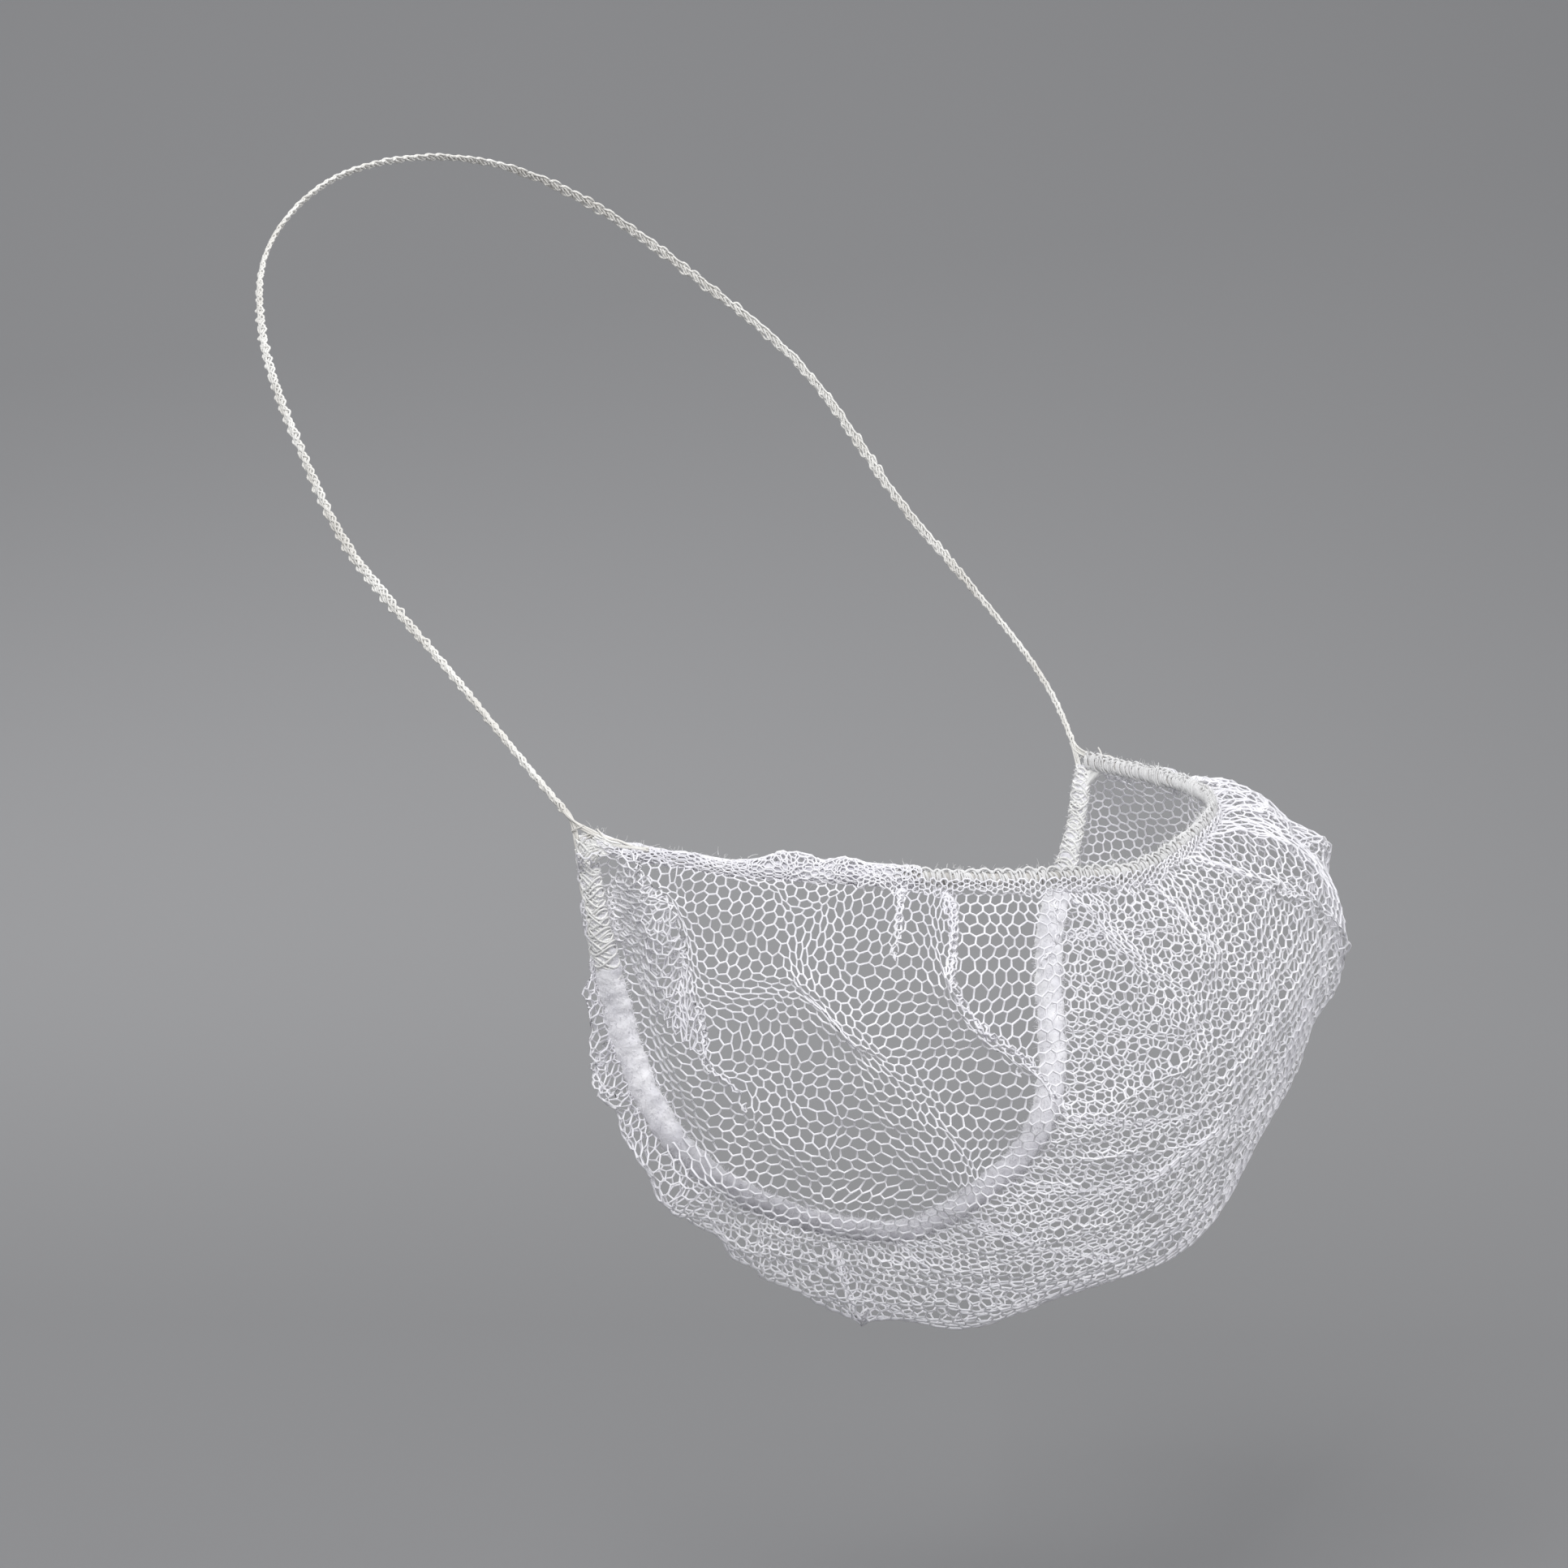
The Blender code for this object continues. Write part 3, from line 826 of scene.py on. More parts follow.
def placed(name: str, mesh: bpy.types.Mesh, finish: YarnFinish,
           node: str = "") -> bpy.types.Object:
    """A piece in the scene, riding on the cover.

    Args:
        name: The piece's name.
        mesh: Its mesh.
        finish: What it is made of.
        node: The solid model's node that it stands for, if it does.

    Returns:
        The piece.
    """
    mesh.materials.append(finish.material())
    piece = bpy.data.objects.new(name, mesh)
    bpy.context.scene.collection.objects.link(piece)
    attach(piece, "root")
    if node:
        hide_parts(node)
    LOG.info("%s: %d faces", name, len(mesh.polygons))
    return piece


def corners_of(bm: bmesh.types.BMesh) -> np.ndarray:
    """The flat places of a flat bmesh's corners."""
    return np.array([vertex.co[:2] for vertex in bm.verts])


def move_corners(bm: bmesh.types.BMesh, points: np.ndarray) -> None:
    """Move a bmesh's corners to points, in their own order."""
    for vertex, point in zip(bm.verts, points):
        vertex.co = point


def keep_cells(bm: bmesh.types.BMesh, kept: np.ndarray, least: int) -> None:
    """Cut off the cells of which too few corners are kept.

    Args:
        bm: The cells.
        kept: Whether each corner is kept.
        least: How many kept corners a cell needs.
    """
    for vertex, inside in zip(bm.verts, kept):
        vertex.tag = bool(inside)
    outside = [face for face in bm.faces if sum(corner.tag for corner in face.verts) < least]
    bmesh.ops.delete(bm, geom=outside, context="FACES")


def thread_up(bm: bmesh.types.BMesh, thickness: float) -> None:
    """Turn every edge of the cells into a thread, which lies across the way of its corners' normals.

    Args:
        bm: The cells.
        thickness: The threads' thickness.
    """
    bmesh.ops.wireframe(bm, faces=bm.faces, thickness=thickness, offset=0.0, use_replace=True,
                        use_boundary=True, use_even_offset=False)
    bmesh.ops.recalc_face_normals(bm, faces=bm.faces)


def sleeve(rings: np.ndarray) -> bmesh.types.BMesh:
    """A closed tube through rings of points, with its end rings filled flat and a UV map along and round it.

    Args:
        rings: Points as (ring, side, axis).

    Returns:
        The tube's bmesh.
    """
    count, sides = rings.shape[:2]
    bm = bmesh.new()
    bm.loops.layers.uv.new("UVMap")
    bmesh.ops.create_grid(bm, x_segments=count - 1, y_segments=sides, size=0.5, calc_uvs=True)
    flat = corners_of(bm) + 0.5
    ring = np.rint(flat[:, 0] * (count - 1)).astype(int)
    side = np.rint(flat[:, 1] * sides).astype(int) % sides
    move_corners(bm, rings[ring, side])
    bmesh.ops.remove_doubles(bm, verts=bm.verts, dist=MERGE_DISTANCE)
    bmesh.ops.holes_fill(bm, edges=[edge for edge in bm.edges if edge.is_boundary], sides=0)
    bmesh.ops.recalc_face_normals(bm, faces=bm.faces)
    return bm


def short_fibres(roots: np.ndarray, ways: np.ndarray, curls: np.ndarray, longs: np.ndarray, sunk: float = 0.0,
                 bend: float = 1.0) -> list[np.ndarray]:
    """Short fibres of three points each.

    Args:
        roots: Where each fibre starts.
        ways: The way that it first runs.
        curls: How its tip turns away.
        longs: The length to its middle point.
        sunk: How deep its root is sunk.
        bend: The share of the length at which its middle point lies.

    Returns:
        The fibres' points.
    """
    return [np.stack([root - sunk * way, root + way * long * bend, root + curl * long])
            for root, way, curl, long in zip(roots, ways, curls, longs)]


def yarns(name: str, paths: list[np.ndarray], radius: float, tip: float = 1.0) -> bpy.types.Mesh:
    """Four-sided yarns of one thickness along paths, as one mesh.

    Args:
        name: The mesh's name.
        paths: The middle line of each yarn.
        radius: Half the yarn's thickness.
        tip: The share of the thickness that is left at a yarn's last point.

    Returns:
        The mesh.
    """
    curve = bpy.data.curves.new(name, "CURVE")
    curve.dimensions = "3D"
    curve.bevel_depth = radius
    curve.bevel_resolution = 0
    curve.use_fill_caps = True
    for path in paths:
        cord = curve.splines.new("POLY")
        cord.points.add(len(path) - 1)
        cord.points.foreach_set("co", np.column_stack([path, np.ones(len(path))]).ravel())
        cord.points.foreach_set("radius", np.linspace(1.0, tip, len(path)))
        cord.use_smooth = True
    maker = bpy.data.objects.new(name, curve)
    mesh = bpy.data.meshes.new_from_object(maker)
    bpy.data.objects.remove(maker)
    bpy.data.curves.remove(curve)
    mesh.name = name
    mesh.shade_smooth()
    return mesh


@dataclass
class Honeycomb:
    """A flat field of six-sided cells, standing in columns as knitted net does."""

    pitch: float
    columns: int
    rows: int

    @property
    def side(self) -> float:
        """The length of one side of a cell."""
        return self.pitch / sqrt(3)

    @staticmethod
    def columns_for(length: float, pitch: float, spare: int) -> int:
        """How many columns cover a length, with some pairs of columns to spare."""
        return 2 * int(length / pitch / sqrt(3) + spare)

    def build(self) -> bmesh.types.BMesh:
        """The field, centred on the origin.

        Returns:
            A bmesh with one face to a cell.
        """
        bm = bmesh.new()
        bmesh.ops.create_circle(bm, cap_ends=True, segments=6, radius=self.side)
        bmesh.ops.rotate(bm, verts=bm.verts, matrix=Matrix.Rotation(pi / 6, 3, "Z"))
        self.repeat(bm, (1.5 * self.side, self.pitch / 2, 0.0), 2)
        self.repeat(bm, (3.0 * self.side, 0.0, 0.0), self.columns // 2)
        self.repeat(bm, (0.0, self.pitch, 0.0), self.rows)
        bmesh.ops.remove_doubles(bm, verts=bm.verts, dist=self.side / 10)
        middle = Vector((1.5 * self.side * (self.columns - 1) / 2, self.pitch * (self.rows - 0.5) / 2, 0.0))
        bmesh.ops.translate(bm, verts=bm.verts, vec=-middle)
        return bm

    @staticmethod
    def repeat(bm: bmesh.types.BMesh, step: tuple[float, float, float], count: int) -> None:
        """Repeat what the bmesh holds.

        Args:
            bm: The bmesh.
            step: How far each copy lies from the last.
            count: How many there are in the end.
        """
        unit_geometry = bm.verts[:] + bm.edges[:] + bm.faces[:]
        for turn in range(1, count):
            copy = bmesh.ops.duplicate(bm, geom=unit_geometry)["geom"]
            corners = [item for item in copy if isinstance(item, bmesh.types.BMVert)]
            bmesh.ops.translate(bm, verts=corners, vec=Vector(step) * turn)


@dataclass
class FlatNet:
    """The net's worn surface laid flat, each small triangle turned and as little stretched as may be."""

    form: WornForm
    edges: tuple[np.ndarray, np.ndarray]
    columns: int = 48
    rows: int = 24
    finer: int = 2
    rounds: int = 60
    least_weight: float = 0.05
    touching: float = 1e-6
    flat: np.ndarray = field(init=False)
    bm: bmesh.types.BMesh = field(init=False)
    places: list[Vector] = field(init=False)
    tree: BVHTree = field(init=False)

    def __post_init__(self) -> None:
        """Lay the surface flat and make it ready to be read."""
        columns, rows = np.linspace(0, 1, self.columns + 1), np.linspace(0, 1, self.rows + 1)
        at, down = np.meshgrid(columns, rows, indexing="ij")
        worn = self.form.net(at.ravel(), down.ravel(), self.edges)
        self.flat = self.refined(self.settled(worn.reshape(*at.shape, 3), at, down))
        self.columns, self.rows = self.columns * self.finer, self.rows * self.finer
        self.bm = bmesh.new()
        bmesh.ops.create_grid(self.bm, x_segments=self.columns, y_segments=self.rows, size=0.5)
        bmesh.ops.triangulate(self.bm, faces=self.bm.faces)
        places = corners_of(self.bm) + 0.5
        column = np.rint(places[:, 0] * self.columns).astype(int)
        row = np.rint(places[:, 1] * self.rows).astype(int)
        self.places = [Vector((*place, 0.0)) for place in places]
        move_corners(self.bm, np.pad(self.flat[column, row], ((0, 0), (0, 1))))
        self.bm.faces.ensure_lookup_table()
        self.tree = BVHTree.FromBMesh(self.bm)

    def settled(self, worn: np.ndarray, at: np.ndarray, down: np.ndarray) -> np.ndarray:
        """Flat places for a grid of worn points, with the worn triangles' shapes kept as nearly as may be.

        Args:
            worn: The worn points as (column, row, axis).
            at: Each point's share from corner to corner.
            down: Each point's share from hem to band.

        Returns:
            Flat points as (column, row, axis).
        """
        level = np.linalg.norm(np.diff(worn, axis=0), axis=2).sum(axis=0)
        depth = np.linalg.norm(np.diff(worn, axis=1), axis=2).sum(axis=1)
        flat = np.stack([(at - 0.5) * level[None, :], (0.5 - down) * depth[:, None]], axis=2).reshape(-1, 2)
        ends, sides, weights, triangle = self.pieces(worn)
        pull = np.zeros((len(flat), len(flat)))
        for row, column, sign in ((0, 0, 1.0), (1, 1, 1.0), (0, 1, -1.0), (1, 0, -1.0)):
            np.add.at(pull, (ends[row], ends[column]), sign * weights)
        answer = np.linalg.inv(pull[1:, 1:])
        for _ in range(self.rounds):
            gap = flat[ends[0]] - flat[ends[1]]
            turn = np.zeros((triangle.max() + 1, 2))
            np.add.at(turn[:, 0], triangle, weights * (gap * sides).sum(axis=1))
            np.add.at(turn[:, 1], triangle, weights * (gap[:, 1] * sides[:, 0] - gap[:, 0] * sides[:, 1]))
            c, s = unit(turn)[triangle].T
            turned = np.stack([c * sides[:, 0] - s * sides[:, 1], s * sides[:, 0] + c * sides[:, 1]], axis=1)
            wanted = np.zeros_like(flat)
            np.add.at(wanted, ends[0], turned * weights[:, None])
            np.add.at(wanted, ends[1], -turned * weights[:, None])
            flat = np.concatenate([np.zeros((1, 2)), answer @ wanted[1:]])
        return (flat - flat.mean(axis=0)).reshape(*at.shape, 2)

    def pieces(self, worn: np.ndarray) -> tuple[np.ndarray, np.ndarray, np.ndarray, np.ndarray]:
        """The sides of the triangles that the worn grid is cut into.

        Args:
            worn: The worn points as (column, row, axis).

        Returns:
            The numbers of each side's two points, the side in its triangle's own plane, its weight, and the
            number of its triangle.
        """
        index = np.arange(worn[..., 0].size).reshape(worn.shape[:2])
        near, right = index[:-1, :-1].ravel(), index[1:, :-1].ravel()
        far, below = index[1:, 1:].ravel(), index[:-1, 1:].ravel()
        corners = np.concatenate([[near, right, far], [near, far, below]], axis=1)
        a, b, c = worn.reshape(-1, 3)[corners]
        length = np.linalg.norm(b - a, axis=1)
        along = ((b - a) * (c - a)).sum(axis=1) / length
        deep = np.linalg.norm(np.cross(b - a, c - a), axis=1) / length
        shape = np.zeros((3, len(length), 2))
        shape[1, :, 0] = length
        shape[2] = np.column_stack([along, -deep])
        ends, sides, weights = [], [], []
        for first in range(3):
            last, other = (first + 1) % 3, (first + 2) % 3
            one, two = shape[first] - shape[other], shape[last] - shape[other]
            cross = np.abs(one[:, 0] * two[:, 1] - one[:, 1] * two[:, 0])
            ends.append(corners[[first, last]])
            sides.append(shape[first] - shape[last])
            weights.append(np.maximum((one * two).sum(axis=1) / cross, self.least_weight))
        triangle = np.tile(np.arange(len(length)), 3)
        return np.concatenate(ends, axis=1), np.concatenate(sides), np.concatenate(weights), triangle

    def refined(self, flat: np.ndarray) -> np.ndarray:
        """The flat grid with more columns and rows, smoothly between its own.

        Args:
            flat: Flat points as (column, row, axis).

        Returns:
            The finer grid.
        """
        for axis in range(2):
            lines = np.moveaxis(flat, axis, 0)
            knots = np.linspace(0.0, 1.0, len(lines))
            wanted = np.linspace(0.0, 1.0, (len(lines) - 1) * self.finer + 1)
            finer = spline(knots, lines.reshape(len(lines), -1), wanted)
            flat = np.moveaxis(finer.reshape(len(wanted), *lines.shape[1:]), 0, axis)
        return flat

    def laid(self, places: np.ndarray) -> np.ndarray:
        """Flat points of places given as (at, down).

        Args:
            places: The places, one to a row.

        Returns:
            Their flat points.
        """
        column = np.clip(places[:, 0], 0, 1) * self.columns
        row = np.clip(places[:, 1], 0, 1) * self.rows
        i = np.minimum(column.astype(int), self.columns - 1)
        j = np.minimum(row.astype(int), self.rows - 1)
        u, v = (column - i)[:, None], (row - j)[:, None]
        upper = self.flat[i, j] * (1 - u) + self.flat[i + 1, j] * u
        lower = self.flat[i, j + 1] * (1 - u) + self.flat[i + 1, j + 1] * u
        return upper * (1 - v) + lower * v

    def worn_places(self, points: np.ndarray) -> tuple[np.ndarray, np.ndarray]:
        """Where flat points lie on the worn net.

        Args:
            points: Flat points, one to a row.

        Returns:
            The places as (at, down), and whether each point lies on the sheet.
        """
        places = np.zeros((len(points), 2))
        on_sheet = np.zeros(len(points), bool)
        for index, (x, y) in enumerate(points):
            spot, _, face, off = self.tree.find_nearest(Vector((x, y, 0.0)))
            corners = self.bm.faces[face].verts
            places[index] = barycentric_transform(
                spot, *(corner.co for corner in corners), *(self.places[corner.index] for corner in corners)
            )[:2]
            on_sheet[index] = off < self.touching
        return places, on_sheet


@dataclass
class NetPouch:
    """The knitted net: hexagonal cells laid out flat, drawn into tucks, and hung on the worn form."""

    form: WornForm
    pitch: float = 0.00213
    columns: int = 160
    rows: int = 96
    lie: float = radians(-16.0)
    thread: float = 0.00046
    tucked: float = 0.0014
    corner_cut: float = 0.0045
    eases_over: float = 0.011
    jitter: float = 0.00007
    waver: float = 0.00035
    waver_waves: tuple[float, ...] = (0.006, 0.009, 0.014, 0.023)
    flutter: float = 0.00025
    flutter_waves: tuple[float, ...] = (0.005, 0.008, 0.012, 0.018)
    ripple: float = 0.0005
    flounce: float = 0.0022
    pleat_mesh: float = 0.64
    pleat_rise: float = 0.0005
    fold_mesh: float = 0.92
    tuck_fade: float = 0.007
    past_edge: float = 0.008
    bare_to: float = 0.29
    bare_half: float = 0.0028
    cheek_way: tuple[float, float, float] = (-0.695, -0.719, 0.0)
    inner_reach: float = 0.0075
    outer_reach: float = 0.0030
    band_cover: float = 0.0004
    relaxed: float = 0.56
    seed: int = 7
    edges: tuple[np.ndarray, np.ndarray] = field(init=False)
    flat_net: FlatNet = field(init=False)

    def __post_init__(self) -> None:
        """Find the net's edges and lay its worn surface flat."""
        self.edges = self.form.net_edges(self.corner_cut, self.tucked)
        self.flat_net = FlatNet(self.form, self.edges)

    def build(self) -> None:
        bm = self.cells(self.pitch, self.columns, self.rows, self.lie)
        half = 1.2 * np.abs(self.flat_net.flat).max(axis=(0, 1))
        outside = [face for face in bm.faces if (np.abs(face.calc_center_median()[:2]) > half).any()]
        bmesh.ops.delete(bm, geom=outside, context="FACES")
        flat = corners_of(bm)
        shift, rise = self.tucks(flat)
        places, on_sheet = self.flat_net.worn_places(flat + shift + self.waverings(flat))
        self.hang(bm, places, rise + self.flutters(flat))
        keep_cells(bm, on_sheet, 4)
        area = sum(face.calc_area() for face in bm.faces)
        thread_up(bm, self.thread)
        net = placed("net_threads", mesh_of(bm, "net_threads"), NET_YARN, "net_pouch")
        LOG.info("net area %.1f square cm", area * 1e4)
        folds = [self.overlap(name, fold) for name, fold in NET_OVERLAPS.items()] + [self.pleats()]

    @staticmethod
    def cells(pitch: float, columns: int, rows: int, turn: float) -> bmesh.types.BMesh:
        """A turned field of cells.

        Args:
            pitch: The cells' width.
            columns: How many columns there are.
            rows: How many rows there are.
            turn: How far the field is turned.

        Returns:
            The field.
        """
        bm = Honeycomb(pitch, columns, rows).build()
        bmesh.ops.rotate(bm, verts=bm.verts, matrix=Matrix.Rotation(turn, 3, "Z"))
        return bm

    def pleats(self) -> bpy.types.Object:
        """Make the narrow pleats that lie on the net.

        Returns:
            All of them as one piece.
        """
        whole = bmesh.new()
        for pleat in NET_PLEATS:
            strip = mesh_of(self.pleat(pleat), "strip")
            whole.from_mesh(strip)
            bpy.data.meshes.remove(strip)
        return placed("net_pleats", mesh_of(whole, "net_pleats"), NET_YARN)

    def pleat(self, pleat: Pleat) -> bmesh.types.BMesh:
        """Make one pleat: a strip folded along its middle, so that two layers lie on the net.

        Args:
            pleat: Where it lies and how wide it is.

        Returns:
            The strip's threads.
        """
        line = self.laid_line(pleat.places, 80)
        shares, length = shares_along(line), run_along(line)[-1]
        pitch = self.pleat_mesh * self.pitch
        columns, rows = 2 * int(0.7 * length / pitch + 3), int(3 * pleat.width / pitch + 5)
        bm = self.cells(pitch, columns, rows, pleat.turn)
        flat = corners_of(bm)
        share = flat[:, 0] / length + 0.5
        flat = flat + self.waverings(flat + 0.1 * pleat.turn)
        width = pleat.width + (pleat.end_width - pleat.width) * share
        across = flat[:, 1] / width
        ahead = unit(np.gradient(line, axis=0))
        side = read_along(np.stack([-ahead[:, 1], ahead[:, 0]], axis=1), shares, share)
        spots = read_along(line, shares, share) + side * ((0.5 - np.abs(across)) * width)[:, None]
        places, on_sheet = self.flat_net.worn_places(spots)
        layer = 1.6 + 0.6 * np.tanh(flat[:, 1] / 0.0004)
        self.hang(bm, places, self.pleat_rise * layer + self.flutters(flat))
        keep_cells(bm, on_sheet & (np.abs(across) < 1.0) & (share > 0.0) & (share < 1.0), 6)
        thread_up(bm, self.thread)
        return bm

    def overlap(self, name: str, fold: Overlap) -> bpy.types.Object:
        """Make a flat double fold that lies on the net.

        Args:
            name: The piece's name.
            fold: Where the fold lies.

        Returns:
            The piece.
        """
        shares = np.linspace(0.0, 1.0, 81)
        sides = [spline(np.linspace(0, 1, len(line)), np.array(line), shares)
                 for line in (fold.first, fold.last)]
        first, last = (self.surface(*places.T) for places in sides)
        width = np.linalg.norm(first - last, axis=1)
        length = run_along((first + last) / 2)[-1]
        pitch = self.fold_mesh * self.pitch
        rows = int(2.8 * width.max() / pitch + 6)
        bm = self.cells(pitch, Honeycomb.columns_for(1.2 * length, pitch, 4), rows, fold.turn)
        flat = corners_of(bm)
        flat = flat + self.waverings(flat) * 2.0
        share = flat[:, 0] / length + 0.5
        across = flat[:, 1] / np.interp(share, shares, width)
        mix = (1.0 - np.abs(across))[:, None]
        first, last = (read_along(side, shares, share) for side in sides)
        places = first * (1 - mix) + last * mix
        rise = fold.rise * (1.5 + np.tanh(flat[:, 1] / 0.0006) * 0.6) + self.flutters(flat) * 1.5
        self.hang(bm, places, rise)
        down = places[:, 1]
        keep_cells(bm, (np.abs(across) < 1.0) & (share > 0.0) & (share < 1.0) & (down > 0) & (down < 1), 6)
        thread_up(bm, self.thread)
        return placed(name, mesh_of(bm, name), NET_YARN)

    def laid_line(self, places: tuple[tuple[float, float], ...], steps: int) -> np.ndarray:
        """A smooth line through places (at, down) in the flat net, cut into steps."""
        line = self.flat_net.laid(np.array(places))
        return smooth_curve(np.column_stack([line, np.zeros(len(line))]), steps)[:, :2]

    def tucks(self, flat: np.ndarray) -> tuple[np.ndarray, np.ndarray]:
        """What the tucks do to flat points.

        Args:
            flat: The points.

        Returns:
            How far each point shifts in the flat, and how far it then rises off the form.
        """
        shift = np.zeros_like(flat)
        rise = np.zeros(len(flat))
        for tuck in NET_TUCKS:
            line = self.laid_line(tuck.places, 6 * len(tuck.places))
            if tuck.fade is Ends.LAST:
                line = np.concatenate([line[:1] + self.past_edge * unit(line[:1] - line[1:2]), line])
            gap, run, length = self.beside(flat, line)
            fade = min(self.tuck_fade, 0.3 * length)
            hold = eased((length - run) / fade)
            if tuck.fade is Ends.BOTH:
                hold *= eased(run / fade)
            off = np.linalg.norm(gap, axis=1)
            widths = off / tuck.width
            pull = tuck.draw / np.sqrt(1.0 + widths**2)
            pull *= swelling(off / max(self.eases_over, 2.5 * tuck.width))
            shift -= (hold * pull)[:, None] * gap
            rise += hold * tuck.rise * swelling(widths)
        return shift, rise

    @staticmethod
    def beside(points: np.ndarray, line: np.ndarray) -> tuple[np.ndarray, np.ndarray, float]:
        """Where points lie beside a line.

        Args:
            points: The flat points.
            line: The line's flat points.

        Returns:
            The gap from the line to each point, the length run along the line to there, and the line's own
            length.
        """
        best = np.full(len(points), np.inf)
        gaps = np.zeros_like(points)
        along = np.zeros(len(points))
        run = run_along(line)
        for start, end, begun in zip(line[:-1], line[1:], run[:-1]):
            step = end - start
            length = np.linalg.norm(step)
            part = np.clip((points - start) @ step / length**2, 0.0, 1.0)
            gap = points - start - part[:, None] * step
            distance = np.linalg.norm(gap, axis=1)
            nearer = distance < best
            best[nearer] = distance[nearer]
            gaps[nearer] = gap[nearer]
            along[nearer] = (begun + part * length)[nearer]
        return gaps, along, float(run[-1])

    def waverings(self, flat: np.ndarray) -> np.ndarray:
        """Uneven knitting: a slow waver of the rows and a small jitter of each corner.

        Args:
            flat: The flat points.

        Returns:
            How far each point strays in the flat.
        """
        chance = np.random.default_rng(self.seed)
        stray = chance.normal(0.0, self.jitter, flat.shape)
        for wave in self.waver_waves:
            turn = chance.uniform(0, 2 * pi, 2)
            phase = chance.uniform(0, 2 * pi, 2)
            for axis in range(2):
                along = flat @ np.array([cos(turn[axis]), sin(turn[axis])])
                stray[:, axis] += self.waver / 2 * np.sin(2 * pi * along / wave + phase[axis])
        return stray

    def flutters(self, flat: np.ndarray) -> np.ndarray:
        """Small rises and dips of the net off its form.

        Args:
            flat: The flat points.

        Returns:
            The height at each point.
        """
        chance = np.random.default_rng(self.seed + 1)
        height = np.zeros(len(flat))
        for wave in self.flutter_waves:
            turn, phase = chance.uniform(0, 2 * pi, 2)
            height += self.flutter * np.sin(2 * pi * (flat @ np.array([cos(turn), sin(turn)])) / wave + phase)
        return height

    def surface(self, at: np.ndarray, down: np.ndarray) -> np.ndarray:
        """Points of the worn surface without folds, at places given as shares."""
        return self.form.net(at, down, self.edges)

    def hang(self, bm: bmesh.types.BMesh, places: np.ndarray, rise: np.ndarray) -> None:
        """Hang cells on the worn form, their corners raised off it and facing outwards.

        Args:
            bm: The cells.
            places: Each corner's place as (at, down).
            rise: How far each corner is raised.
        """
        at, down = places.T
        step = self.form.slope_step
        aside = self.surface(at + step, down) - self.surface(at - step, down)
        below = self.surface(at, down + step) - self.surface(at, down - step)
        evenly, middle = np.linspace(0, 1, 64), np.full(64, 0.5)
        lines = self.surface(evenly, middle), self.surface(middle, evenly)
        rise = (rise + self.frill(at, down)) * eased(np.minimum(down, 1 - down) / 0.03)
        rise += self.form.fold_height(at, down, np.array([run_along(line)[-1] for line in lines]))
        outwards = unit(np.cross(below, aside))
        points = self.surface(at, down) + outwards * rise[:, None]
        drawn_in = self.behind_band(points)
        move_corners(bm, points - drawn_in[:, None] * unit(np.array(self.cheek_way)))
        bm.normal_update()
        for vertex, way, depth in zip(bm.verts, outwards, drawn_in):
            if depth < self.band_cover:
                vertex.normal = way if vertex.normal @ Vector(way) > 0 else -way

    def behind_band(self, points: np.ndarray) -> np.ndarray:
        """How far the net is drawn in, so that it passes behind the band where the band lies bare.

        Args:
            points: Points of the net.

        Returns:
            How far each is drawn inwards from the right cheek.
        """
        band = self.form.band(240, 0.0)
        share = shares_along(band)
        middle = band.mean(axis=0)
        band, share = band[share < self.bare_to], share[share < self.bare_to]
        way = unit(np.array(self.cheek_way))
        flat = points - (points @ way)[:, None] * way
        flat_band = band - (band @ way)[:, None] * way
        nearest = np.linalg.norm(flat[:, None] - flat_band[None], axis=2).argmin(axis=1)
        place = share[nearest]
        gap = flat - flat_band[nearest]
        inner = (gap * (middle - band[nearest])).sum(axis=1) > 0
        grown = 0.85 + 0.15 * eased(place / 0.14)
        reach = np.where(inner, self.inner_reach, self.outer_reach) * grown
        beside = eased((np.linalg.norm(gap, axis=1) - self.bare_half * grown) / reach)
        hold = eased((place - 0.004) / 0.03) * eased((self.bare_to - place) / 0.05) * (1 - beside)
        height = ((points - band[nearest]) * way).sum(axis=1)
        return hold * np.maximum(height + self.band_cover, 0.0)

    def frill(self, at: np.ndarray, down: np.ndarray) -> np.ndarray:
        """Ripples of the net that hangs outside the band on the right, and the bellies of the limp net.

        Args:
            at: Shares from the right corner to the left one.
            down: Shares from hem to band.

        Returns:
            The height at each place.
        """
        near = swelling((down - 0.84) / 0.10) * eased((at - 0.07) / 0.06) * eased((0.42 - at) / 0.10)
        bulge = self.flounce * swelling((at - 0.17) / 0.045)
        frill = near * (bulge + self.ripple * (np.sin(at * 140) + 0.6 * np.sin(at * 233 + 1.3)))
        for belly in NET_BELLIES:
            level, upright = swelling((at - belly.at) / 0.05), swelling((down - belly.down) / 0.09)
            frill = frill + belly.height * level * upright
        return frill


